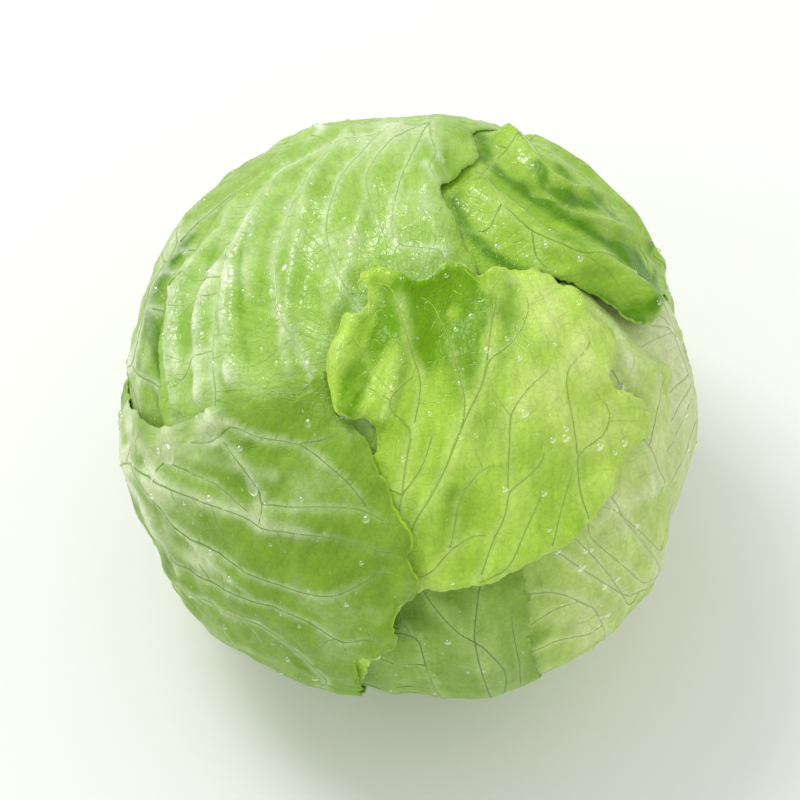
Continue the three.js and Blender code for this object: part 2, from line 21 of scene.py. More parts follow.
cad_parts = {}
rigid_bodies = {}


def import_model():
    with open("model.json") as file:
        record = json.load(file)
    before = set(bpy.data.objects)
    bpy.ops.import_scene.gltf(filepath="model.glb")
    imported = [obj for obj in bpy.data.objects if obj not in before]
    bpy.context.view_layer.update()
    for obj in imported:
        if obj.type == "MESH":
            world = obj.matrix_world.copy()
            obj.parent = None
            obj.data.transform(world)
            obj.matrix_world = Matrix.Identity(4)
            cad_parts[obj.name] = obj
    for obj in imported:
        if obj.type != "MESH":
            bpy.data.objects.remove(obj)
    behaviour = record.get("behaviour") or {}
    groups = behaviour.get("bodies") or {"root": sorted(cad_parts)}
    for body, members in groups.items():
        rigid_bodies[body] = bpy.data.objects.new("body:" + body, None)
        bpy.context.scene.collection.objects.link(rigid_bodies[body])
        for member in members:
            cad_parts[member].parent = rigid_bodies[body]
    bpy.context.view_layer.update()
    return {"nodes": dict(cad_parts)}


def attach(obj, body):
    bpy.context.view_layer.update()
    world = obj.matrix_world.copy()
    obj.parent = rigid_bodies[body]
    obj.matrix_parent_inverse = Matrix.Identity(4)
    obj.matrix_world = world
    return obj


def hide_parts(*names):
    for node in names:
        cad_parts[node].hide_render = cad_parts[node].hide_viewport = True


Array = np.ndarray
Colour = tuple[float, float, float, float]
Tone = tuple[int, int, int]
Faces = list[tuple[int, ...]]
Socket = bpy.types.NodeSocket

LOG = logging.getLogger("lettuce")
MM = 0.001
MIDDLE_HEIGHT = 76.0
HEAD_RADIUS = 80.0
GOLDEN_TURN = math.pi * (3 - math.sqrt(5))
TINY = 1e-12
# This many places are measured at a time, which bounds the memory that it takes.
BLOCK = 2048
# A curve has this many points from one of its given directions to the next.
CURVE_STEPS = 24
# Light spreads this far in leaf tissue for red, green and blue, times the material's own scale.
LEAF_SCATTER = (0.7, 1.0, 0.25)
WHITE = (1.0, 1.0, 1.0, 1.0)


def unit(vectors: Array) -> Array:
    """Scales vectors along the last axis to length one."""
    return vectors / np.maximum(np.linalg.norm(vectors, axis=-1, keepdims=True), TINY)


def smooth(value: Array, low: float, high: float) -> Array:
    """Rises smoothly from 0 at low to 1 at high."""
    share = np.clip((value - low) / (high - low), 0.0, 1.0)
    return share * share * (3.0 - 2.0 * share)


def linear(red: int, green: int, blue: int) -> Colour:
    """Turns a screen colour into the scene's linear colour.

    Args:
        red: The screen's red, from 0 to 255.
        green: Its green.
        blue: Its blue.

    Returns:
        The linear red, green and blue from 0 to 1, and full opacity.
    """
    parts = [c / 255.0 for c in (red, green, blue)]
    parts = [c / 12.92 if c <= 0.04045 else ((c + 0.055) / 1.055) ** 2.4 for c in parts]
    return (parts[0], parts[1], parts[2], 1.0)


@dataclass(frozen=True)
class View:
    """Where the picture is taken from.

    Attributes:
        elevation: How far the camera looks down, in degrees.
        distance: From the camera to the head's middle.
        scale: Pixels to a millimetre at the head's middle.
        middle: The pixel that the head's middle shows at.
        frame: The picture's width in pixels.
        sensor: The camera sensor's width.
    """

    elevation: float = 60.0
    distance: float = 1200.0
    scale: float = 3.63
    middle: tuple[float, float] = (410.0, 404.0)
    frame: float = 800.0
    sensor: float = 36.0

    @property
    def right(self) -> Array:
        """The picture's right."""
        return np.array([1.0, 0.0, 0.0])

    @property
    def up(self) -> Array:
        """The picture's up."""
        tilt = math.radians(self.elevation)
        return np.array([0.0, math.sin(tilt), math.cos(tilt)])

    @property
    def towards(self) -> Array:
        """From the head to the camera."""
        tilt = math.radians(self.elevation)
        return np.array([0.0, -math.cos(tilt), math.sin(tilt)])

    def seen(self, right: float, up: float) -> Array:
        """Finds the direction of the point on the head that shows at a place.

        Args:
            right: Millimetres right of the head's middle in the picture.
            up: Millimetres above it.

        Returns:
            A unit vector.
        """
        far = self.distance
        across = right * right + up * up + far**2
        depth = far**4 - across * (far**2 - HEAD_RADIUS**2)
        along = (far**2 - math.sqrt(max(depth, 0.0))) / across
        place = right * along * self.right + up * along * self.up + far * (1 - along) * self.towards
        return unit(place)


VIEW = View()


def seen(right: float, up: float) -> Array:
    """The direction of what shows at this place, in millimetres from the head's middle."""
    return VIEW.seen(right, up)


def shown(*places: float) -> tuple[Array, ...]:
    """The directions of what shows at these places, given as millimetres right and up by turns."""
    return tuple(seen(right, up) for right, up in zip(places[::2], places[1::2]))


def turned(azimuth: float, down: float) -> Array:
    """The direction at this angle round the stem from +X, and this angle down from the top, in degrees."""
    turn, tilt = math.radians(azimuth), math.radians(down)
    return np.array([math.sin(tilt) * math.cos(turn), math.sin(tilt) * math.sin(turn), math.cos(tilt)])


def pieces(points: Array) -> tuple[Array, Array]:
    """Splits a line of directions into straight pieces on the head's typical radius."""
    placed = np.asarray(points) * HEAD_RADIUS
    return placed[:-1], placed[1:]


def nearest_on(line: tuple[Array, Array], places: Array) -> tuple[Array, Array]:
    """Finds the nearest point of a line for each place.

    Args:
        line: The line's straight pieces, as their starts and ends.
        places: The places, one a row.

    Returns:
        The distance, and the share of the line that comes before the nearest point.
    """
    starts, ends = line
    along = ends - starts
    length = np.maximum((along**2).sum(1), TINY)
    off, share = (np.empty(len(places)) for _ in range(2))
    for low in range(0, len(places), BLOCK):
        block = places[low : low + BLOCK]
        rel = block[:, None] - starts[None]
        part = np.clip((rel * along).sum(2) / length, 0.0, 1.0)
        gap = rel - part[..., None] * along
        squares = (gap**2).sum(2)
        best = squares.argmin(1)
        rows = np.arange(len(block))
        off[low : low + BLOCK] = np.sqrt(squares[rows, best])
        share[low : low + BLOCK] = (best + part[rows, best]) / len(starts)
    return off, share


def spaced(points: Array, spacing: float) -> Array:
    """Draws a closed curve through directions and spaces points evenly on it.

    Args:
        points: The directions that it passes through.
        spacing: The distance between its points.

    Returns:
        The points, as directions.
    """
    count = len(points)
    curve = []
    for i in range(count):
        p0, p1, p2, p3 = (points[(i + k) % count] for k in (-1, 0, 1, 2))
        times = [0.0]
        for start, end in ((p0, p1), (p1, p2), (p2, p3)):
            times.append(times[-1] + max(np.linalg.norm(end - start), 1e-4) ** 0.5)
        _, t1, t2, t3 = times
        t = np.linspace(t1, t2, CURVE_STEPS, endpoint=False)[:, None]
        a1 = (t1 - t) / t1 * p0 + t / t1 * p1
        a2 = (t2 - t) / (t2 - t1) * p1 + (t - t1) / (t2 - t1) * p2
        a3 = (t3 - t) / (t3 - t2) * p2 + (t - t2) / (t3 - t2) * p3
        b1 = (t2 - t) / t2 * a1 + t / t2 * a2
        b2 = (t3 - t) / (t3 - t1) * a2 + (t - t1) / (t3 - t1) * a3
        curve.append((t2 - t) / (t2 - t1) * b1 + (t - t1) / (t2 - t1) * b2)
    curve = np.vstack([*curve, curve[0][:1]])
    steps = np.linalg.norm(np.diff(curve, axis=0), axis=1)
    far = np.concatenate([[0.0], np.cumsum(steps)])
    total = max(8, round(far[-1] * HEAD_RADIUS / spacing))
    wanted = np.arange(total) / total * far[-1]
    return np.stack([np.interp(wanted, far, curve[:, k]) for k in range(3)], axis=1)


def even_directions(spacing: float) -> Array:
    """Spreads directions evenly over the whole ball.

    Args:
        spacing: How far apart they are on the head's typical radius.

    Returns:
        The directions.
    """
    count = round(4 * math.pi * HEAD_RADIUS**2 / (spacing**2 * math.sin(math.pi / 3)))
    index = np.arange(count)
    height = 1 - (2 * index + 1) / count
    wide = np.sqrt(1 - height**2)
    turn = GOLDEN_TURN * index
    return np.stack([wide * np.cos(turn), wide * np.sin(turn), height], axis=1)


@dataclass(frozen=True)
class Swell:
    """A place where the heart bulges, or is pressed in, or where a leaf's colour changes.

    Attributes:
        middle: Its direction.
        height: How much, in millimetres for a bulge and from 0 to 1 for a colour.
        width: How widely.
    """

    middle: Array
    height: float
    width: float

    def at(self, directions: Array) -> Array:
        """How much of it there is in each direction."""
        angle = np.arccos(np.clip(directions @ self.middle, -1.0, 1.0))
        return self.height * np.exp(-((angle * HEAD_RADIUS / self.width) ** 2))


def swells(*rows: tuple[float, float, float, float]) -> list[Swell]:
    """Makes swells from rows of millimetres right and up in the picture, height and width."""
    return [Swell(seen(right, up), height, width) for right, up, height, width in rows]


@dataclass(frozen=True)
class Fold:
    """A midrib, fold or pleat that stands out of a leaf.

    Attributes:
        line: The directions that its crest passes through.
        heights: Its height at both ends.
        width: Its half width.
        power: 2 for a round crest, and more for a flat one with steep sides.
        pale: How pale its crest is, from 0 to 1: partly a rib's own tone, partly a highlight painted on the
            crest.
    """

    line: tuple[Array, ...]
    heights: tuple[float, float]
    width: float
    power: float = 2.0
    pale: float = 0.0

    def at(self, places: Array) -> Array:
        """Measures how high it is.

        Args:
            places: Where, on the head's typical radius.

        Returns:
            Its height at each place.
        """
        off, share = nearest_on(pieces(self.line), places)
        height = self.heights[0] + (self.heights[1] - self.heights[0]) * share
        return height * np.exp(-((off / self.width) ** self.power))

    def crest(self, places: Array) -> Array:
        """Measures how pale it is.

        Args:
            places: Where, on the head's typical radius.

        Returns:
            Its paleness at each place, from 0 to 1.
        """
        off, share = nearest_on(pieces(self.line), places)
        ends = smooth(share, 0.0, 0.06) * (1 - smooth(share, 0.94, 1.0))
        return self.pale * ends * np.exp(-((off / max(0.45 * self.width, 1.1)) ** 2))


def summed(parts: list[Swell] | list[Fold], places: Array, start: Array) -> Array:
    """Adds up the start and what each swell or fold gives at each place."""
    return sum((part.at(places) for part in parts), start)


@dataclass(frozen=True)
class TreeMaker:
    """Adds nodes to a node tree and joins them in one step.

    Attributes:
        tree: The tree.
    """

    tree: bpy.types.NodeTree

    def add(self, kind: str, settings: dict[str, object] | None = None, **inputs: object) -> bpy.types.Node:
        """Adds a node.

        Args:
            kind: The node's type name.
            settings: Its own properties.
            **inputs: Its inputs, as fill takes them.

        Returns:
            The node.
        """
        node = self.tree.nodes.new(kind)
        for key, value in (settings or {}).items():
            setattr(node, key, value)
        self.fill(node, **inputs)
        return node

    def fill(self, node: bpy.types.Node, **inputs: object) -> None:
        """Sets a node's inputs.

        Args:
            node: The node.
            **inputs: Its inputs by name with underscores for spaces, or as _0, _1 and so on. Each is a value,
                or a socket to join to.
        """
        for key, value in inputs.items():
            number = key[1:]
            socket = node.inputs[int(number) if number.isdigit() else key.replace("_", " ")]
            if isinstance(value, Socket):
                self.tree.links.new(value, socket)
            else:
                socket.default_value = value

    def sockets(self, way: str, kind: str, *names: str) -> None:
        """Gives the tree itself inputs or outputs.

        Args:
            way: INPUT or OUTPUT.
            kind: What they carry, such as Float or Color.
            *names: Their names.
        """
        for name in names:
            self.tree.interface.new_socket(name, in_out=way, socket_type=f"NodeSocket{kind}")

    def maths(self, operation: str, first: object, second: object = 0.0, clamp: bool = False) -> Socket:
        """Adds a Math node and returns its result."""
        settings = {"operation": operation, "use_clamp": clamp}
        return self.add("ShaderNodeMath", settings, _0=first, _1=second).outputs[0]

    def times(self, first: object, second: object) -> Socket:
        """Multiplies two numbers."""
        return self.maths("MULTIPLY", first, second)

    def ramp(self, value: object, low: float, high: float, start: float = 0.0, end: float = 1.0) -> Socket:
        """Maps a value smoothly from low to high onto start to end."""
        limits = {"From_Min": low, "From_Max": high, "To_Min": start, "To_Max": end}
        smoothly = {"interpolation_type": "SMOOTHSTEP"}
        return self.add("ShaderNodeMapRange", smoothly, Value=value, **limits).outputs["Result"]

    def blend(self, share: object, first: object, second: object, how: str = "MIX") -> Socket:
        """Mixes two colours.

        Args:
            share: The second colour's share.
            first: The first colour.
            second: The second colour.
            how: Blender's name for the way of mixing.

        Returns:
            The mixed colour.
        """
        node = self.add("ShaderNodeMix", {"data_type": "RGBA", "blend_type": how}, Factor=share)
        for socket, colour in zip([s for s in node.inputs if s.type == "RGBA"], (first, second)):
            if isinstance(colour, Socket):
                self.tree.links.new(colour, socket)
            else:
                socket.default_value = colour
        return next(socket for socket in node.outputs if socket.type == "RGBA")

    def place(self) -> Socket:
        """Gives the place on the object."""
        return self.add("ShaderNodeTexCoord").outputs["Object"]

    def read(self, name: str) -> Socket:
        """Gives the mesh attribute of this name."""
        return self.add("ShaderNodeAttribute", {"attribute_name": name}).outputs["Fac"]

    def noise(self, place: Socket, scale: float, detail: float) -> Socket:
        """Gives a Noise Texture's value."""
        return self.add("ShaderNodeTexNoise", None, Vector=place, Scale=scale, Detail=detail).outputs["Fac"]

    def bump(self, height: Socket, strength: float, distance: float) -> Socket:
        """Gives a normal that is bent by this height, in metres."""
        given = {"Strength": strength, "Distance": distance, "Height": height}
        return self.add("ShaderNodeBump", None, **given).outputs["Normal"]

    def vector(self, operation: str, first: Socket, **inputs: object) -> bpy.types.NodeOutputs:
        """Adds a Vector Math node and gives its outputs."""
        return self.add("ShaderNodeVectorMath", {"operation": operation}, _0=first, **inputs).outputs


def new_material(name: str) -> tuple[bpy.types.Material, bpy.types.Node, TreeMaker]:
    """Makes a material with a Principled shader.

    Args:
        name: Its name.

    Returns:
        The material, its shader node and the maker of its other nodes.
    """
    material = bpy.data.materials.new(name)
    material.use_nodes = True
    shader = material.node_tree.nodes["Principled BSDF"]
    return material, shader, TreeMaker(material.node_tree)


@dataclass(frozen=True)
class Tissue:
    """The colours and the fine relief that all leaves share, as a group of shader nodes.

    Attributes:
        name: The group's name.
        masks: The mesh attributes that it reads.
        streaks: The streaks' scale round the leaf's base, and away from the base.
        cloud: The scale of the patches in the green.
        grain: The scale of the finest specks.
        cells: The scale of the net of cells, and how wide its lines are.
        bend: The scale at which that net is bent, and how far in metres.
        wrinkle: The scale of the wrinkles.
        patch: How much deeper the patches are.
        thin: How much paler the thin parts are.
        halo: How pale the blade is beside a vein.
        net: How much deeper the net of cells is.
        dull: How much rougher the patches are.
        relief: How high the wrinkles and the streaks stand, and how low the net lies.
    """

    name: str = "leaf tissue"
    masks: tuple[str, ...] = ("deep", "pale", "vein", "edge", "glow", "fan", "out")
    streaks: tuple[float, float] = (30.0, 0.09)
    cloud: float = 55.0
    grain: float = 900.0
    cells: tuple[float, float] = (420.0, 0.09)
    bend: tuple[float, float] = (260.0, 0.003)
    wrinkle: float = 190.0
    patch: float = 0.35
    thin: float = 0.3
    halo: float = 0.55
    net: float = 0.05
    dull: float = 0.2
    relief: tuple[float, float, float] = (1.6, 0.9, 0.25)

    def group(self) -> bpy.types.NodeTree:
        """Makes the group, once.

        Returns:
            The group, with a leaf's colours and its gloss as inputs.
        """
        if self.name in bpy.data.node_groups:
            return bpy.data.node_groups[self.name]
        tree = bpy.data.node_groups.new(self.name, "ShaderNodeTree")
        make = TreeMaker(tree)
        make.sockets("INPUT", "Color", "Lamina", "Deep", "Pale", "Edge")
        make.sockets("INPUT", "Float", "Gloss")
        make.sockets("OUTPUT", "Color", "Colour")
        make.sockets("OUTPUT", "Float", "Roughness", "Height")
        given = make.add("NodeGroupInput").outputs
        masks = {name: make.read(name) for name in self.masks}
        patterns = self.patterns(make, masks)
        wrinkle, streak, net = self.relief
        streaked = make.times(patterns["streak"], streak)
        raised = make.maths("ADD", make.times(patterns["wrinkle"], wrinkle), streaked)
        make.add(
            "NodeGroupOutput",
            None,
            Colour=self.colour(make, given, masks, patterns),
            Roughness=make.maths("ADD", given["Gloss"], make.times(patterns["cloud"], self.dull)),
            Height=make.maths("SUBTRACT", raised, make.times(patterns["net"], net)),
        )
        return tree

    def patterns(self, make: TreeMaker, masks: dict[str, Socket]) -> dict[str, Socket]:
        """Adds the patterns that the colour and the relief follow.

        Args:
            make: The group's maker.
            masks: The mesh attributes.

        Returns:
            The patterns streak, cloud, grain, net and wrinkle.
        """
        fan, out = make.times(masks["fan"], self.streaks[0]), make.times(masks["out"], self.streaks[1])
        along = make.add("ShaderNodeCombineXYZ", None, X=fan, Y=out).outputs["Vector"]
        place = make.place()
        scale, far = self.bend
        swirl = make.add("ShaderNodeTexNoise", None, Vector=place, Scale=scale, Detail=1.0).outputs["Color"]
        bent = make.vector("ADD", place, _1=make.vector("SCALE", swirl, Scale=far)["Vector"])["Vector"]
        scale, width = self.cells
        cells = make.add("ShaderNodeTexVoronoi", {"feature": "DISTANCE_TO_EDGE"}, Vector=bent, Scale=scale)
        return {
            "streak": make.noise(along, 1.0, 3.0),
            "cloud": make.noise(place, self.cloud, 3.0),
            "grain": make.noise(place, self.grain, 2.0),
            "net": make.ramp(cells.outputs["Distance"], 0.0, width, 1.0, 0.0),
            "wrinkle": make.noise(bent, self.wrinkle, 3.0),
        }

    def colour(
        self,
        make: TreeMaker,
        given: bpy.types.NodeOutputs,
        masks: dict[str, Socket],
        patterns: dict[str, Socket],
    ) -> Socket:
        """Mixes a leaf's colours.

        Args:
            make: The group's maker.
            given: The group's inputs.
            masks: The mesh attributes.
            patterns: The patterns.

        Returns:
            The colour.
        """
        cloud = patterns["cloud"]
        patchy = make.times(make.ramp(cloud, 0.42, 0.7), self.patch)
        # The deep mask and the random patches take the deeper green: the leaf's own tone, and shade painted
        # in folds and hollows.
        deep = make.maths("ADD", masks["deep"], patchy, clamp=True)
        colour = make.blend(deep, given["Lamina"], given["Deep"])
        light = make.times(make.ramp(cloud, 0.5, 0.25, 0.0, self.thin), make.maths("SUBTRACT", 1.0, deep))
        # The pale mask takes pale ribs and tones, and the highlights painted on crests and wet parts.
        pale = make.maths("ADD", masks["pale"], light, clamp=True)
        colour = make.blend(pale, colour, given["Pale"])
        colour = make.blend(make.times(masks["vein"], self.halo), colour, given["Pale"])
        colour = make.blend(make.times(patterns["net"], self.net), colour, given["Deep"])
        specks = make.ramp(patterns["grain"], 0.3, 0.75, 0.94, 1.05)
        fleck = make.times(specks, make.ramp(patterns["streak"], 0.3, 0.7, 0.93, 1.06))
        shade = make.add("ShaderNodeCombineColor", None, Red=fleck, Green=fleck, Blue=fleck).outputs["Color"]
        colour = make.blend(1.0, colour, shade, "MULTIPLY")
        # Painted light: the rim is brightened where light shines through the thin margin.
        rim = make.maths("MULTIPLY", make.ramp(masks["edge"], 0.75, 0.2), masks["glow"], clamp=True)
        return make.blend(rim, colour, given["Edge"])


@dataclass(frozen=True)
class LeafFinish:
    """The look of one leaf.

    Attributes:
        slot: The record's material slot. Nothing here reads it.
        lamina: The colour of most of it.
        deep: Its deeper green, which also paints the shade in its folds and hollows.
        pale: Its ribs' and its pressed parts' colour, which also paints highlights on crests and wet parts.
        edge: The thin line along its rim, painted light where light shines through the thin margin.
        vein: The colour of its fine veins.
        gloss: The shader's roughness at its smoothest.
    """

    slot: str
    lamina: Tone
    deep: Tone
    pale: Tone
    edge: Tone
    vein: Tone
    gloss: float = 0.34

    def tissue(self, name: str) -> bpy.types.Material:
        """Makes a blade's material.

        Args:
            name: The leaf's name.

        Returns:
            The material.
        """
        material, shader, make = new_material(f"{name} tissue")
        group = make.add("ShaderNodeGroup", {"node_tree": Tissue().group()}, Gloss=self.gloss)
        tones = {"Lamina": self.lamina, "Deep": self.deep, "Pale": self.pale, "Edge": self.edge}
        make.fill(group, **{socket: linear(*tone) for socket, tone in tones.items()})
        bump = make.bump(group.outputs["Height"], 0.8, 0.0004)
        make.fill(
            shader,
            Base_Color=group.outputs["Colour"],
            Roughness=group.outputs["Roughness"],
            Normal=bump,
            Specular_IOR_Level=0.14,
            Coat_Weight=0.14,
            Coat_Roughness=0.14,
            Coat_Normal=bump,
            Subsurface_Weight=0.25,
            Subsurface_Radius=LEAF_SCATTER,
            Subsurface_Scale=0.0015,
        )
        return material

    def veining(self, name: str) -> bpy.types.Material:
        """Makes the material of the raised veins, which are like the blade where thin and pale where thick.

        Args:
            name: The leaf's name.

        Returns:
            The material.
        """
        material, shader, make = new_material(f"{name} veins")
        stout = make.read("stout")
        thin = make.blend(make.ramp(stout, 0.0, 0.3), linear(*self.lamina), linear(*self.vein))
        make.fill(
            shader,
            Base_Color=make.blend(make.ramp(stout, 0.85, 1.0, 0.0, 0.3), thin, linear(*self.pale)),
            Roughness=self.gloss,
            Subsurface_Weight=0.2,
            Subsurface_Radius=LEAF_SCATTER,
            Subsurface_Scale=0.001,
        )
        return material


class Order(Enum):
    """The leaves from the innermost to the outermost."""

    INNER_RIGHT = 0
    BACK = 1
    BACK_LEFT = 2
    RIGHT = 3
    FOLDED = 4
    BOTTOM = 5
    CROWN = 6
    FRONT = 7
    LEFT = 8


@dataclass
class LeafPlan:
    """One leaf's outline and folds, its colours and where its veins come in.

    Attributes:
        order: Its place in the head.
        middle: The direction of its middle.
        rim: The directions that its rim passes through, in order round it.
        folds: Its midribs, folds and pleats.
        finish: Its colours.
        veins: Listed main veins, each a line of directions from the base outwards.
        crease_shade: Lines along its folds where shade is painted as a deeper green, with its strength as the
            height.
        deep: Where it is a deeper green: partly its own tone, partly shade painted in troughs and hollows.
        pale: Where it is paler: partly its own tone, partly a sheen painted on wet, crumpled parts.
        crumpled: Where it is crumpled more than elsewhere.
        glow: Where light shines through its rim.
        frilly: How much of the full frill its rim has.
    """

    order: Order
    middle: Array
    rim: list[Array]
    folds: list[Fold]
    finish: LeafFinish
    veins: list[tuple[Array, ...]] = field(default_factory=list)
    crease_shade: list[Fold] = field(default_factory=list)
    deep: list[Swell] = field(default_factory=list)
    pale: list[Swell] = field(default_factory=list)
    crumpled: list[Swell] = field(default_factory=list)
    glow: list[Swell] = field(default_factory=list)
    frilly: float = 0.7

    @property
    def name(self) -> str:
        """The leaf's name, as its node in the frame has it."""
        return f"leaf_{self.order.name.lower()}"

    @property
    def short_name(self) -> str:
        """The leaf's name in its pieces' names."""
        return self.order.name.lower()


# Each finish's deep green also paints shade, its pale also paints highlights, and its edge paints light
# through the rim.
FINISHES = {
    Order.INNER_RIGHT: LeafFinish(
        "leaf_palest", (206, 226, 148), (170, 202, 92), (232, 242, 196), (220, 234, 176), (184, 208, 124)
    ),
    Order.BACK: LeafFinish(
        "leaf_pale", (168, 202, 104), (126, 168, 54), (216, 230, 178), (200, 224, 130), (120, 160, 56)
    ),
    Order.BACK_LEFT: LeafFinish(
        "leaf_mid", (158, 194, 84), (92, 142, 0), (224, 236, 200), (186, 212, 120), (130, 168, 60)
    ),
    Order.RIGHT: LeafFinish(
        "leaf_pale", (197, 226, 122), (140, 180, 60), (229, 241, 188), (206, 226, 140), (156, 190, 86)
    ),
    Order.FOLDED: LeafFinish(
        "leaf_deep", (160, 204, 62), (92, 146, 0), (192, 222, 118), (196, 226, 100), (128, 174, 36), 0.28
    ),
    Order.BOTTOM: LeafFinish(
        "leaf_olive", (144, 182, 72), (98, 138, 30), (184, 212, 124), (176, 208, 84), (104, 142, 42)
    ),
    Order.CROWN: LeafFinish(
        "leaf_pale", (160, 201, 82), (118, 170, 30), (225, 239, 196), (198, 224, 130), (152, 196, 82)
    ),
    Order.FRONT: LeafFinish(
        "leaf_bright", (183, 223, 78), (114, 166, 0), (216, 238, 140), (214, 240, 116), (138, 184, 44), 0.3
    ),
    Order.LEFT: LeafFinish(
        "leaf_mid", (138, 178, 54), (96, 142, 14), (221, 235, 188), (178, 222, 46), (114, 158, 40)
    ),
}

BULGES = [
    Swell(seen(36, -72), 3.4, 30),
    Swell(seen(-52, -62), 1.8, 26),
    Swell(seen(42, 68), 2.0, 24),
    Swell(seen(-62, 50), 3.4, 22),
    Swell(seen(72, -36), -3.0, 22),
    Swell(seen(-5, 77), 2.2, 22),
    Swell(turned(20, 115), 2.0, 34),
    Swell(turned(135, 120), -1.6, 30),
]

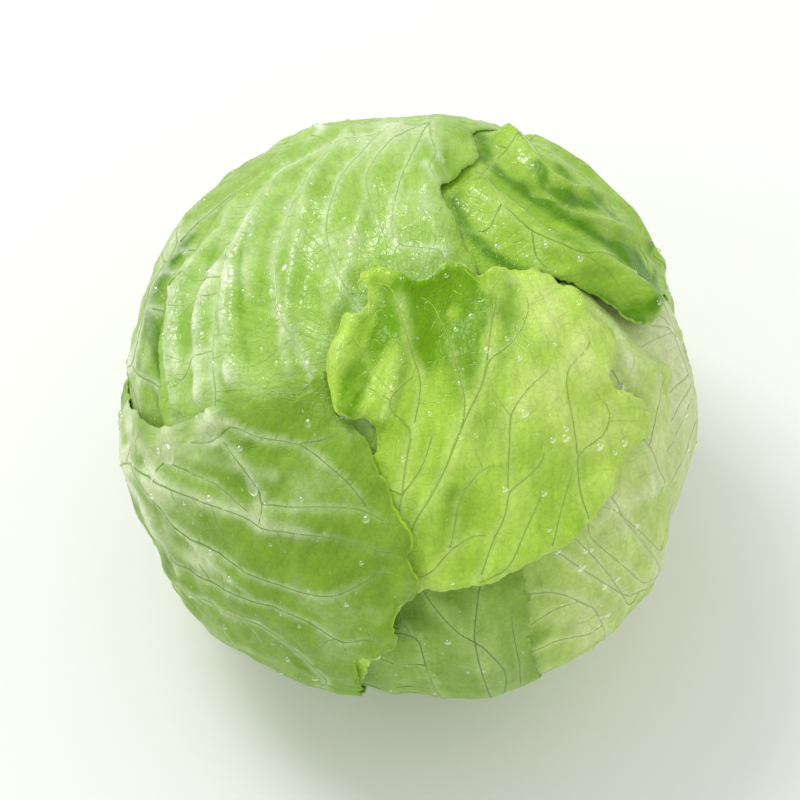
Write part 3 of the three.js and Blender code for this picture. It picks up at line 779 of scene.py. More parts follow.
PLANS = [
    LeafPlan(
        Order.INNER_RIGHT,
        turned(-2, 92),
        [
            turned(-36, 161), turned(-38, 130), *shown(40, -30, 36, -5, 38, 22, 50, 44), turned(30, 62),
            turned(34, 88), turned(32, 118), turned(30, 142), turned(38, 161), turned(1, 161),
        ],
        [
            Fold((turned(-8, 156), turned(-2, 115), *shown(77, 8, 71, 26)), (3, 1.5), 6, pale=0.8),
        ],
        FINISHES[Order.INNER_RIGHT],
        veins=[
            (turned(-6, 156), turned(-2, 115), *shown(77, 8, 71, 26)),
        ],
        pale=swells((76, 4, 0.6, 9), (74, 20, 0.5, 9)),
        glow=swells((75, 10, 0.5, 30)),
        frilly=0.4,
    ),
    LeafPlan(
        Order.BACK,
        turned(82, 92),
        [
            turned(54, 161), turned(46, 142), turned(34, 118), turned(30, 90), turned(40, 62),
            turned(62, 46), turned(92, 40), turned(118, 50), turned(132, 75), turned(134, 100),
            turned(124, 128), turned(116, 146), turned(112, 161), turned(83, 161),
        ],
        [
            Fold((turned(83, 156), turned(82, 130), turned(80, 100), turned(82, 74)), (3, 1.5), 7, pale=0.5),
        ],
        FINISHES[Order.BACK],
        veins=[
            (turned(83, 156), turned(82, 130), turned(80, 100), turned(82, 74), turned(84, 58)),
        ],
        frilly=0.25,
    ),
    LeafPlan(
        Order.BACK_LEFT,
        turned(158, 92),
        [
            turned(114, 161), turned(112, 140), turned(108, 112), turned(106, 84), turned(112, 60),
            *shown(-34, 58, -40, 38, -43, 14, -47, -10, -60, -26), turned(192, 112), turned(188, 140),
            turned(186, 161), turned(150, 161),
        ],
        [
            Fold(
                (turned(158, 156), turned(160, 130), turned(164, 105), *shown(-75, 10, -70, 30)), (3, 1.6),
                6, pale=0.7
            ),
            Fold(shown(-75, -2, -71, 14, -69, 32, -60, 50), (1, 2), 3.5, pale=0.5),
            Fold((turned(148, 140), turned(142, 110), turned(140, 84)), (1.6, 0.8), 5),
        ],
        FINISHES[Order.BACK_LEFT],
        veins=[
            (turned(158, 156), turned(160, 130), turned(164, 105), *shown(-75, 10, -70, 30, -60, 48)),
        ],
        crease_shade=[
            Fold(
                shown(-60.6, 46.3, -68, 33.1, -71.1, 24.5, -70.2, 17.6, -68.9, 10.7, -67.2, 2.5, -66.4,
                -3.9), (1.2, 1.6), 1.7
            ),
            Fold(shown(-74.9, 19, -72.2, 8, -67.5, -2.8), (0.6, 0.8), 1.0),
        ],
        deep=swells((-71, 20, 0.5, 4)),
        pale=swells((-77, 12, 0.7, 6), (-74, 30, 0.6, 6), (-66, 44, 0.3, 8)),
        frilly=0.15,
    ),
    LeafPlan(
        Order.RIGHT,
        seen(46, -18),
        [
            turned(-12, 161), turned(-6, 138), turned(-7, 118), *shown(71, -35, 70, -24, 70, -16, 71, -6,
            71.5, 4, 72, 9, 70, 11.5, 67, 12, 63, 16, 57, 23, 52, 29, 46, 34, 38, 33, 30, 22, 22, 4,
            16, -16, 13, -38, 14, -60), turned(-78, 128), turned(-72, 146), turned(-66, 161),
            turned(-39, 161),
        ],
        [
            Fold(
                (turned(-38, 156), turned(-38, 135), *shown(66, -44, 52, -24, 44, 0)), (3, 1.2), 6, pale=0.45
            ),
            Fold(shown(67, 9, 66, -2, 65, -14, 65, -26), (1.4, 1), 3, pale=0.5),
            Fold(shown(56, 19, 60, 10, 61, 0), (1.4, 1), 4, pale=0.4),
            Fold((turned(-52, 140), *shown(46, -62, 44, -48)), (1.8, 1), 4.5, pale=0.3),
        ],
        FINISHES[Order.RIGHT],
        veins=[
            (turned(-38, 156), turned(-38, 135), *shown(70, -48.5, 57.9, -32, 49.6, -18.2, 45.5, -7.2)),
            shown(70, -48.5, 57.9, -51.2, 48.2, -45.7, 37.7, -38.8),
            shown(52.3, -65, 49, -54, 41.3, -51.2, 33.1, -51.8),
            shown(57.9, -54, 51.2, -43, 43, -34.7, 38, -43),
            shown(68.9, -43, 62, -47.9, 49, -36.6, 46.8, -32),
            shown(71.1, -32, 66.9, -39.9, 52.3, -26.4),
            shown(68.9, -20.9, 63.4, -9.9, 59.2, 1.1, 52.3, 14.9),
        ],
        deep=swells((46, -40, 0.35, 10), (62, 2, 0.3, 6), (36, -62, 0.8, 13), (34, -48, 0.4, 8)),
        pale=swells((60, 16, 0.5, 8), (66, -20, 0.6, 8), (56, -30, 0.4, 10), (50, -55, 0.3, 8)),
        crumpled=swells((58, -30, 0.8, 20)),
        glow=swells((66, 0, 0.6, 20)),
        frilly=0.3,
    ),
    LeafPlan(
        Order.FOLDED,
        seen(44, 52),
        [
            turned(32, 161), turned(26, 138), turned(22, 112), turned(20, 88), *shown(70.5, 31, 69.5, 27,
            66.5, 23, 62, 21.5, 56, 25, 49, 30.5, 41, 35, 34, 37, 26, 38, 18, 36, 8, 42, 4, 54, 5, 67,
            9, 76), turned(80, 60), turned(76, 88), turned(76, 118), turned(76, 140), turned(78, 161),
            turned(55, 161),
        ],
        [
            Fold((turned(50, 156), turned(50, 120), turned(52, 84)), (3, 1.4), 7),
            Fold((turned(64, 146), turned(64, 116), turned(66, 88)), (1.6, 0.8), 5),
            Fold(
                shown(14, 65.6, 20.1, 59.8, 27.5, 53.7, 35.8, 46.8, 44.9, 41.3, 54.3, 36.4, 63.4, 29.2),
                (3.6, 5.4), 5.2, power=3
            ),
            Fold(shown(25.6, 74.7, 31.7, 70, 38, 64.2, 44.6, 60.3, 52.9, 58.1), (4.0, 2.6), 3.0),
            Fold(
                shown(33.9, 74.7, 41.3, 70.8, 48.8, 65.3, 55.1, 59, 62, 51.5, 67.2, 44.4, 70, 39.1), (2.2,
                1.8), 3.2
            ),
            Fold(
                shown(39.4, 56.5, 46.8, 52.6, 53.2, 50.4, 60.6, 47.7, 66.7, 43.5), (2.6, 2.6), 2.2, pale=0.5
            ),
            Fold(shown(70.2, 39.1, 71.1, 32, 68, 25.3, 61.7, 21.8), (0.7, 2.2), 2.4, pale=0.3),
            Fold((seen(70.5, 31), turned(20, 88), turned(21, 98)), (-0.4, -0.4), 4),
        ],
        FINISHES[Order.FOLDED],
        veins=[
            (
                turned(52, 156), turned(52, 120), turned(52, 84), turned(60, 64), *shown(33.9, 72.7, 24.8,
                70, 19.3, 65, 24.8, 54.8, 33.1, 47.1, 44.9, 39.1, 57.3, 30.9),
            ),
            shown(28.9, 72.2, 37.2, 65.6, 45.5, 61.2, 52.9, 58.4),
            shown(33.9, 72.7, 45.5, 67.8, 55.6, 58.4, 63.4, 49, 67.5, 42.4),
            shown(33.1, 47.1, 35.8, 39.1, 43, 32.8),
            shown(24.8, 54.8, 22, 49, 26.2, 43),
            shown(44.9, 39.1, 52.3, 39.1, 60.1, 34.2),
        ],
        crease_shade=[
            Fold(
                shown(20.9, 71.1, 26.4, 65, 35, 59, 42.4, 54, 50.1, 48.5, 58.4, 43, 66.1, 37.5), (0.6, 1.2),
                2.2
            ),
            Fold(shown(34.7, 66.4, 39.1, 61.2, 45.5, 57.9, 52.3, 55.4), (1.2, 1.0), 1.8),
            Fold(
                shown(12.4, 59.5, 16, 51.2, 23.1, 43.5, 31.7, 36.9, 41.3, 31.4, 51.5, 25.9, 60.1, 21.8),
                (1.1, 1.1), 2.2
            ),
            Fold(shown(69.1, 37.5, 67.2, 30.9, 63.4, 25.3), (1.0, 0.9), 1.3),
            Fold(shown(19.3, 74.9, 22, 70, 24.8, 66.4), (1.0, 0.8), 2.2),
            Fold(shown(41.3, 65.8, 49.6, 59, 57.9, 52.1, 66.1, 43.8), (0.8, 0.8), 2.0),
        ],
        deep=swells(
            (50, 29, 0.6, 6), (60, 24, 0.6, 6), (34, 60, 0.6, 6), (46, 56, 0.6, 7), (66, 34, 0.8, 7),
            (41, 45, 0.35, 6), (60, 44, 0.5, 7),
        ),
        pale=swells((20, 57, 0.45, 6), (34, 47, 0.3, 6), (38, 70, 0.4, 7), (30, 69, 0.35, 5)),
        crumpled=swells((44, 46, 0.8, 22)),
        glow=swells((60, 25, 0.7, 16)),
        frilly=0.5,
    ),
    LeafPlan(
        Order.BOTTOM,
        seen(6, -62),
        [
            turned(-56, 161), turned(-54, 146), turned(-57, 128), *shown(35, -73, 33, -69, 32, -65, 32, -59,
            32, -53, 31, -48, 29, -42, 22, -34, 12, -31, 2, -34, -8, -42, -17, -52, -25, -64),
            turned(-112, 126), turned(-110, 146), turned(-108, 161), turned(-82, 161),
        ],
        [
            Fold(
                (turned(-76, 156), turned(-74, 135), *shown(22, -70, 12, -57, 4, -48)), (3, 1), 5.5, pale=0.3
            ),
            Fold((turned(-92, 148), turned(-96, 130), *shown(-4, -74, -2, -60)), (1.6, 1), 4.5),
        ],
        FINISHES[Order.BOTTOM],
        veins=[
            (
                turned(-76, 156), turned(-74, 135), *shown(24.8, -81.5, 24.8, -69.1, 19.3, -63.6, 11.6,
                -59.5, 2.8, -50.4, -1.4, -43),
            ),
            shown(11, -81.5, 8.3, -78.8, 4.1, -70.5, 2.2, -62.8, 0, -62.3, -4.7, -54.5),
            shown(22, -78.8, 17.9, -67.8, 16.5, -60.9, 18.7, -47.7),
            shown(28.9, -78.8, 28.1, -65, 26.2, -54),
        ],
        deep=swells((-6, -58, 0.7, 9), (4, -52, 0.7, 10), (22, -46, 0.4, 8)),
        pale=swells((20, -66, 0.35, 9)),
        glow=swells((32, -58, 1.0, 12)),
        frilly=0.5,
    ),
    LeafPlan(
        Order.CROWN,
        turned(112, 38),
        [
            turned(76, 161), turned(70, 142), turned(62, 118), turned(58, 92), turned(64, 66),
            *shown(17.5, 75, 19, 70, 14, 65.5, 9, 61, 10.5, 56.5, 12.5, 52.5, 14.5, 47.5, 17.5, 42,
            19.5, 37, 17, 26, 10, 14, 4, 2, -2, -12, -12, -22, -30, -24, -50, -24, -62, -18, -66.5, -6,
            -68, 10, -67, 28, -61, 40, -53, 53, -42, 65.5, -31, 74), turned(128, 74), turned(134, 96),
            turned(126, 120), turned(118, 142), turned(114, 161), turned(95, 161),
        ],
        [
            Fold(
                (turned(122, 84), *shown(-34, 73, -52, 50, -64, 32, -65, 14, -62, -2)), (0.2, 3.0), 1.6,
                pale=0.8
            ),
            Fold(
                (turned(112, 76), *shown(-24, 75, -43, 56, -50.5, 43, -52, 28, -48, 2)), (0.6, 2.8), 1.5,
                pale=1.3
            ),
            Fold(shown(-52, 42, -58.5, 28, -58, 10, -56, -2), (1.4, 1.8), 1.5, pale=1.0),
            Fold(shown(-16, 76, -30, 60, -34, 40, -36, 18, -33, 4), (1.8, 1.4), 2.4, pale=0.45),
            Fold(shown(-4, 76, -14, 56, -20, 34, -24, 12), (1.8, 1.2), 3, pale=0.25),
            Fold(shown(8, 74, 4, 58, 10, 44), (1.6, 1.6), 4, pale=0.2),
            Fold((turned(94, 156), turned(94, 125), turned(94, 92), turned(98, 66)), (3.2, 1.8), 8, pale=0.3),
            Fold((turned(78, 120), turned(76, 96), turned(80, 74)), (1.2, 1.4), 5),
            Fold(shown(-60.6, 40.5, -63.9, 32.2, -64.5, 20.4, -61.7, 5.2), (1.2, 1.4), 1.4, pale=1.0),
            Fold(shown(-39.1, 61.7, -45.2, 49.3, -46.8, 39.1, -45.2, 28.7), (0.8, 0.5), 1.8, pale=0.4),
            Fold(shown(-25.6, 36.9, -24.2, 28.7, -22, 20.4, -19.3, 14.3), (0.7, 0.9), 2.6, pale=0.25),
            Fold((turned(64, 66), *shown(17.5, 75, 19, 70)), (-0.3, -0.5), 4),
        ],
        FINISHES[Order.CROWN],
        veins=[
            (
                turned(94, 156), turned(94, 125), turned(94, 95), turned(96, 66), turned(98, 50), *shown(4.1,
                80.4, 5.5, 72.7, 10.2, 64.5, 12.4, 54.8),
            ),
            shown(5.5, 76.9, -2.8, 64.5, -6.1, 52.1, -3.9, 46.3, 5.5, 44.6, 12.4, 43),
            shown(5.5, 76.9, -6.9, 72.7, -13.2, 65.8, -10.5, 53.4, -6.9, 46.6),
            shown(5.5, 76.9, -8.3, 75.5, -20.7, 65.8, -25.3, 52.1, -22, 39.1, -16, 28.7),
            shown(-8.3, 75.5, -22, 72.7, -33.1, 59, -39.1, 42.4, -37.5, 25.9, -31.4, 14.9, -27, 5.2),
            shown(-22, 72.7, -38.6, 64.5, -49, 47.9, -54, 31.4, -54.5, 14.9, -52.3, 1.1),
            shown(3.9, 67.5, 7.2, 62.3, 12.1, 53.2),
        ],
        crease_shade=[
            Fold(shown(-54.3, 45.2, -57.9, 31.4, -58.1, 16.3), (0.7, 0.5), 1.3),
            Fold(shown(-44.1, 52.1, -47.9, 39.1, -47.7, 27.3, -45.2, 12.1), (0.7, 0.6), 1.2),
            Fold(shown(-62.5, 36.9, -64.5, 27.3, -63.9, 12.1), (0.5, 0.5), 1.1),
            Fold(shown(-37.2, 59, -41.9, 45.2, -42.4, 31.4), (0.5, 0.3), 1.5),
            Fold(shown(-40.8, -4.4, -30.3, 2.5, -27, 6.6), (0.5, 0.6), 2.0),
            Fold(shown(3.9, 72.7, 8.3, 70, 11.6, 64.5), (0.5, 0.4), 2.0),
        ],
        deep=swells(
            (-60, 20, 0.3, 6), (12, 66, 0.3, 8), (-34, 40, 0.25, 9), (-10, 20, 0.2, 10), (-26, -1, 0.4, 6),
            (-45, 28, 0.2, 8),
        ),
        pale=swells(
            (-6, 76, 0.6, 9), (-58, 8, 0.35, 8), (-57, 33, 0.4, 8), (-50, 50, 0.3, 8), (-46, 6, 0.15, 9),
            (2, 44, 0.1, 10), (-30, 62, 0.15, 12),
        ),
        crumpled=swells((-28, 20, 0.5, 14), (-56, 4, 1.0, 12), (8, 62, 0.8, 14)),
        glow=swells((14, 50, 0.3, 20)),
        frilly=0.2,
    ),
    LeafPlan(
        Order.FRONT,
        seen(15, 9),
        [
            *shown(-14, 35.5, -11.5, 37.5, -8, 38.3, -4.5, 37.6, -1.5, 36, 0.5, 34, 3.5, 34.5, 7.5, 37,
            11, 39.3, 15, 37.5, 18.5, 35.7, 21, 36.6, 26, 37.3, 31, 37.2, 36, 35.8, 40, 32.8, 43.8, 31,
            45.5, 28, 47.7, 23, 51, 21.5, 53.5, 20, 54.5, 16, 54.2, 11.5, 52.6, 8, 54.2, 5, 56.4, 3,
            59.3, 1.6, 62, 1, 63.8, -2.2, 63.3, -5.2, 60, -10.5, 56.7, -14.6, 53.4, -20.4, 51, -25,
            47.7, -29.5, 43.3, -33.9, 40, -36.6, 36, -38.6, 28, -42.4, 21.8, -46.3, 15, -48, 8.8, -49.3,
            2.2, -50, -6, -60), turned(-104, 124), turned(-106, 146), turned(-106, 161), turned(-124, 161),
            turned(-142, 161), turned(-144, 144), *shown(-46, -62, -37, -42, -28, -28, -20, -21, -13, -16.5,
            -9.4, -12.5, -9.8, -8, -12, -4.2, -16, -3.6, -19.4, -1.5, -20.7, 3.5, -22.6, 9.6, -21.5, 17.5,
            -19.4, 22, -17.2, 25, -14, 24.4, -12.2, 27, -11.6, 30.5, -12.7, 33.2),
        ],
        [
            Fold(shown(-13, 34, -17, 22, -20, 8, -18, -2), (4, 5), 3.2, power=3),
            Fold(shown(-3, 32, -1, 20, -5, 6, -7, -4), (3, 2.4), 3.6, pale=0.35),
            Fold(shown(-9, 37, 0, 34, 10, 38, 24, 37), (3, 2.4), 2.6),
            Fold(shown(46, 26, 52, 10, 60, -2), (1.6, 1.6), 5),
            Fold(shown(52, -22, 38, -36, 20, -45), (2, 2.2), 5),
            Fold(shown(0, -44, 14, -10, 20, 8, 24, 26), (1.8, 1.4), 5.5, pale=0.25),
        ],
        FINISHES[Order.FRONT],
        veins=[
            (
                turned(-124, 158), turned(-122, 140), turned(-116, 122), *shown(-4.1, -54, 0.6, -32.5, 5.5,
                -25.1, 9.6, -17.4, 12.9, -8.5, 16.5, -0.8, 20.4, 6.6, 20.9, 12.1, 22.6, 25.3, 24.8, 32.2),
            ),
            shown(8.3, -65, 16.5, -47.7, 22, -36.6, 26.2, -29.2, 26.7, -18.7, 27.3, -3, 20.7, 6.6),
            shown(27.3, -3, 30.3, 2.5, 35, 7.7, 38.6, 9.4, 41.6, 9.1),
            shown(
                35.8, -65, 46.8, -33.3, 44.9, -24.2, 44.6, -13.2, 43.3, -1.7, 41.9, 6.1, 41.3, 9.4,
                50.1, 17.1,
            ),
            shown(-5, -43, -2.5, -25.6, -1.4, -15.4, 0.6, -7.2, 2.8, 2.5, 2.8, 8.8, 0.6, 12.7, -2.2, 23.1),
            shown(-2.5, -25.1, 2.8, -18.7, 5.5, -11.3, 6.1, -6.6),
            shown(-7.7, -3, -5, 3.3, -1.4, 6.6, 2.8, 8.8),
            shown(
                2.2, -48.2, 9.9, -39.9, 11.6, -34.7, 12.4, -26.4, 15.4, -22.3, 19.8, -17.4, 24, -16,
                26.7, -18.7,
            ),
            shown(22.6, -45.7, 28.9, -36.6, 33.1, -29.2, 37.2, -21.5),
            shown(26.2, -54, 35.8, -38.8, 40.2, -27.8, 44.6, -13.2),
            shown(44.6, -13.2, 52.9, -7.2, 53.7, -1.7, 50.1, 3.3),
            shown(27.3, -23.7, 34.4, -16.8, 38, -11.6),
            shown(11.6, -38.8, 16.5, -34.7, 22, -35.5),
            shown(14.3, -5.8, 15.4, 1.1, 12.4, 12.1, 9.9, 23.1),
            shown(20.9, 12.1, 27.5, 16.3, 32.2, 23.7, 33.1, 31.4),
        ],
        crease_shade=[
            Fold(shown(-6.6, 24.2, -9.1, 16.3, -12.1, 8.8, -14.9, 1.7, -16.8, -3.9), (0.7, 1.0), 1.6),
            Fold(shown(-7.4, 32.8, -8.3, 23.1, -12.7, 14.3, -16.8, 6.6, -18.5, -0.6), (0.9, 0.9), 1.1),
            Fold(shown(-3, 28.7, -1.7, 17.6, -3.3, 6.6, -8.3, -5.8), (0.7, 0.5), 1.8),
            Fold(shown(8.3, 34.2, 7.2, 23.1, 5, 10.7, 1.4, 1.1), (0.8, 0.3), 2.2),
            Fold(shown(16.5, 33.3, 17.6, 20.4, 14.3, 8.8), (0.9, 0.3), 2.6),
            Fold(shown(28.1, 32.2, 26.7, 20.4, 24.8, 8.8), (0.8, 0.2), 2.4),
        ],
        deep=swells(
            (8, 29, 1.5, 10), (-4, 26, 1.3, 8), (21, 29, 1.1, 7), (13, 17, 0.9, 7), (-17, 10, 0.35, 5),
            (2, 16, 0.5, 7), (-8, -4, 0.4, 6), (16, 6, 0.6, 5), (19, -3, 0.6, 6), (12, -24, 0.5, 6),
            (30, -14, 0.35, 8), (7, -32, 0.3, 9), (35, 12, 0.4, 5),
        ),
        pale=swells(
            (42, 20, 0.6, 14), (52, -4, 0.55, 13), (47, 7, 0.35, 8), (34, 2, 0.35, 11), (30, 34, 0.4, 7),
            (-14, 30, 0.4, 5), (-20, 14, 0.35, 5),
        ),
        crumpled=swells((4, 26, 1.2, 16), (-18, 12, 1.2, 12)),
        glow=swells((20, 0, 0.8, 60)),
        frilly=0.5,
    ),
    LeafPlan(
        Order.LEFT,
        seen(-46, -46),
        [
            turned(171, 88), *shown(-76, -1, -71, -4, -65, -6.2, -59, -4.4, -54, -2, -47, 0.6, -39, 2.4,
            -31, 3.4, -27.4, 6, -25.4, 9.6, -23.8, 9.2, -22.6, 4, -21.6, -1, -19.4, -4.6, -15.8, -6.4,
            -12.6, -9.4, -10.4, -14, -8.6, -18.6, -6.4, -21, -5, -26, -2.6, -30, 0.4, -34, 0.6, -37,
            -0.7, -40, 1, -44, 2.4, -47, 0.4, -50, -3, -53, -4.3, -56.4, -3.6, -60, -4.6, -63.6,
            -8.4, -65.2, -12.2, -65.8, -14.6, -67.4, -13.8, -70.8, -12.8, -74, -13.4, -77),
            turned(-101, 126), turned(-112, 144), turned(-128, 161), turned(-157, 161), turned(-186, 161),
            turned(172, 142), turned(164, 118), turned(163, 100),
        ],
        [
            Fold(
                (turned(-160, 156), turned(-168, 128), *shown(-76, -16, -66, -19, -50, -26, -24, -35)), (3.2,
                0.8), 5.5, pale=0.55
            ),
            Fold((turned(-140, 146), *shown(-68, -46, -56, -58, -40, -66)), (2.2, 1.2), 4, pale=0.4),
            Fold(shown(-72, -10, -58, -12, -46, -16, -34, -20), (1.8, 1), 4, pale=0.3),
            Fold(shown(-50, -34, -32, -46, -18, -50), (1.2, 1.4), 4.5),
            Fold(shown(-4, -30, -1, -40, -2, -52, -10, -64), (1.4, 1.4), 3.4),
            Fold(shown(-77.7, -5.8, -73.8, -20.9, -67.5, -36.4, -62, -47.1), (1.6, 1.2), 4, pale=0.7),
            Fold(shown(-71.6, -14, -62, -32, -53.7, -43, -40.8, -51.2), (1.4, 0.8), 3, pale=0.5),
            Fold(shown(-53.7, 1.1, -50.1, -5.8, -51, -11.3), (1.6, 1.0), 3, pale=0.6),
            Fold(shown(-46.8, -9.9, -40.8, -20.4, -39.1, -29.2, -37.2, -32.8), (0.9, 0.7), 2, pale=0.35),
            Fold((turned(171, 88), *shown(-77, 4, -76, -1)), (-1.3, -0.8), 5),
        ],
        FINISHES[Order.LEFT],
        veins=[
            (
                turned(-158, 158), turned(-166, 134), turned(-172, 112), *shown(-74.4, -14.9, -67.5, -18.2,
                -56.5, -23.7, -44.1, -29.2, -40.8, -32, -37.2, -32.8, -22, -35.5, -2.8, -40.2),
            ),
            shown(-56.5, -9.9, -48.8, -9.9, -43.3, -16.3, -39.4, -23.7, -38.6, -30.3, -40.8, -32.5),
            shown(-40.8, -26.4, -22, -27.3, -13.2, -28.1, -5.5, -32),
            shown(-49, -4.4, -40.8, -8.8, -30.3, -10.7, -22, -9.4),
            shown(-71.6, -20.9, -63.4, -32, -54, -39.7, -40.8, -45.7, -24.8, -50.1, -16, -48.5, -5, -43),
            shown(-67.5, -51.2, -55.1, -54, -40.8, -59, -30.3, -65, -21.5, -72.7),
            shown(-73.6, -26.4, -65.6, -41.9, -55.1, -48.5, -38.6, -52.9, -25.3, -57.3, -16, -63.9),
            shown(-30.3, -10.7, -20.1, -18.2, -14.6, -23.7, -10.5, -29.8),
            shown(-64.7, -13.2, -51, -20.4, -40.8, -29.8),
        ],
        crease_shade=[
            Fold(shown(-76.3, -25.6, -71.6, -32, -67.5, -39.7, -65.6, -47.1), (0.9, 0.8), 2.0),
            Fold(shown(-67.5, -38.8, -62, -44.4, -56.5, -46.3), (0.8, 0.6), 2.0),
        ],
        deep=swells(
            (-32, 0, 0.3, 7), (-38, -14, 0.25, 9), (-66, -44, 0.4, 6), (-58, -55, 0.35, 6),
            (-30, -40, 0.2, 12), (-48, -10, 0.4, 6), (-30, -66, 0.4, 12), (-46, -56, 0.3, 9),
        ),
        pale=swells(
            (-68, -18, 0.7, 9), (-76, -8, 1.1, 8), (-76, -19, 1.3, 9), (-64, -34, 0.5, 8),
            (-56, -44, 0.45, 8), (-54, -4, 0.5, 7), (-64, -3, 0.5, 7), (-72, -30, 0.8, 9),
        ),
        crumpled=swells((-62, -28, 2.2, 20), (-58, -4, 1.6, 12), (-28, 0, 1.0, 9)),
        glow=swells((-6, -34, 1.1, 17), (-8, -62, 1.0, 16), (-20, 3, 0.5, 8)),
        frilly=0.6,
    ),
]


@dataclass
class Leaf:
    """One leaf laid over the heart: its rim, and how its folds and frills lift it.

    Attributes:
        plan: Its outline, folds and colours.
        rim_step: Between the points of the rim that distances are measured to.
        edge_step: Between the points of the rim that is built.
        wander: How far the rim wanders out of the camera's sight, and the lengths of two waves that it has.
        ragged: How far the built rim is torn.
        frill: How far the rim stands out, its waves' height and length, and how far in they reach.
        hug: How much closer the rim lies at the head's outline, and how far in that reaches.
    """

    plan: LeafPlan
    rim_step: float = 3.0
    edge_step: float = 1.1
    wander: tuple[float, float, float] = (1.5, 41.0, 17.0)
    ragged: float = 0.75
    frill: tuple[float, float, float, float] = (1.0, 0.9, 16.0, 9.0)
    hug: tuple[float, float] = (1.15, 6.0)

    def __post_init__(self) -> None:
        """Draws the rim and readies the flat map."""
        self.middle = self.plan.middle
        self.ahead = unit(np.array([0.0, 0.0, 1.0]) - self.middle * self.middle[2])
        self.aside = np.cross(self.middle, self.ahead)
        border = self.rim(self.rim_step)
        self.sides = pieces(np.vstack([border, border[:1]]))
        self.outline = self.flat(border)
        self.widest = float(np.arccos(np.clip(border @ self.middle, -1, 1)).max())
        self.waves = round(len(border) * self.rim_step / self.frill[2])

    def flat(self, directions: Array) -> Array:
        """Maps directions flat round the leaf's middle, keeping circles circles."""
        across = np.stack([directions @ self.ahead, directions @ self.aside], axis=1)
        return across / np.maximum(1 + directions @ self.middle, 1e-6)[:, None]

    def lifted(self, flat: Array) -> Array:
        """Turns places of the flat map back into directions.

        Args:
            flat: The places.

        Returns:
            Their directions.
        """
        squares = (flat**2).sum(1)[:, None]
        ahead, aside = flat[:, :1] * self.ahead, flat[:, 1:] * self.aside
        return unit(2 * (ahead + aside) + (1 - squares) * self.middle)

    def rim(self, step: float) -> Array:
        """Draws the rim, which wanders where the camera doesn't see it.

        Args:
            step: The distance between its points. A fine rim is ragged too.

        Returns:
            The points, as directions.
        """
        points = spaced(np.array(self.plan.rim), step)
        outwards = unit(np.cross(np.roll(points, -1, 0) - np.roll(points, 1, 0), points))
        height, slow, quick = self.wander
        turn = 2 * math.pi * np.arange(len(points)) * step
        hidden = smooth(-points @ VIEW.towards, 0.05, 0.3)
        away = height * (np.sin(turn / slow) + np.sin(turn / quick)) * hidden
        if step < self.rim_step:
            tears = [noise.noise(Vector(p * 24.0)) + 0.8 * noise.noise(Vector(p * 65.0)) for p in points]
            away = away + self.ragged * np.array(tears)
        return unit(points + outwards * (away / HEAD_RADIUS)[:, None])

    def fan(self, directions: Array) -> tuple[Array, Array]:
        """Measures from the leaf's base, from where the veins fan out.

        Args:
            directions: Where.

        Returns:
            Each direction's angle round the base, and its distance from there.
        """
        base = unit(self.plan.veins[0][0])
        ahead = unit(self.middle - base * float(self.middle @ base))
        aside = np.cross(base, ahead)
        turn = np.arctan2(directions @ aside, directions @ ahead)
        return turn, np.arccos(np.clip(directions @ base, -1, 1)) * HEAD_RADIUS

    def inside(self, directions: Array) -> Array:
        """Tells which directions are on the leaf.

        Args:
            directions: Where.

        Returns:
            True for each one that is on it.
        """
        places = self.flat(directions)
        found = np.zeros(len(places), bool)
        start, end = self.outline, np.roll(self.outline, -1, 0)
        rise = np.where(end[:, 1] == start[:, 1], TINY, end[:, 1] - start[:, 1])
        for low in range(0, len(places), BLOCK):
            x, y = places[low : low + BLOCK, :1], places[low : low + BLOCK, 1:]
            crossed = (start[:, 1] > y) != (end[:, 1] > y)
            left = x < start[:, 0] + (end[:, 0] - start[:, 0]) * (y - start[:, 1]) / rise
            found[low : low + BLOCK] = (crossed & left).sum(1) % 2 == 1
        return found

    def to_rim(self, directions: Array) -> tuple[Array, Array]:
        """Finds how far each direction is from the rim, and how far round the rim that is."""
        return nearest_on(self.sides, directions * HEAD_RADIUS)

    def cover(self, directions: Array, hold: float, fade: float) -> Array:
        """Is 1 on the leaf and this close to it, and falls to 0 past that.

        Args:
            directions: Where.
            hold: How far past the rim it stays 1.
            fade: How far it takes to fall.

        Returns:
            The share, for each direction.
        """
        share = np.zeros(len(directions))
        angle = np.arccos(np.clip(directions @ self.middle, -1, 1))
        near = np.nonzero(angle < self.widest + (hold + fade + 1) / HEAD_RADIUS)[0]
        if len(near):
            off, _ = self.to_rim(directions[near])
            share[near] = np.where(self.inside(directions[near]), 1.0, 1 - smooth(off, hold, hold + fade))
        return share

    def relief(self, directions: Array) -> tuple[Array, Array]:
        """Finds how far the folds and the frilled rim lift the leaf, and where the crests are.

        Args:
            directions: Where.

        Returns:
            The lift in millimetres, and 1 on a fold's crest, falling to 0 beside it.
        """
        places = directions * HEAD_RADIUS
        lift, crest = np.zeros(len(places)), np.zeros(len(places))
        for fold in self.plan.folds:
            lift += fold.at(places)
            crest = np.maximum(crest, fold.crest(places))
        off, share = self.to_rim(directions)
        rise, height, _, width = self.frill
        wave = np.sin(2 * math.pi * self.waves * share)
        ripple = 0.4 * np.sin(2 * math.pi * round(2.6 * self.waves) * share + 1.0) * (1 - smooth(off, 0, 4.5))
        limb = np.exp(-(((directions @ VIEW.towards) / 0.24) ** 2))
        free = smooth(directions[:, 2], -0.75, -0.3) * self.plan.frilly * (1 - 0.85 * limb)
        lift += ((rise + height * wave) * (1 - smooth(off, 0, width)) + ripple) * free
        lift -= self.hug[0] * (1 - smooth(off, 0, self.hug[1])) * limb
        return lift, crest


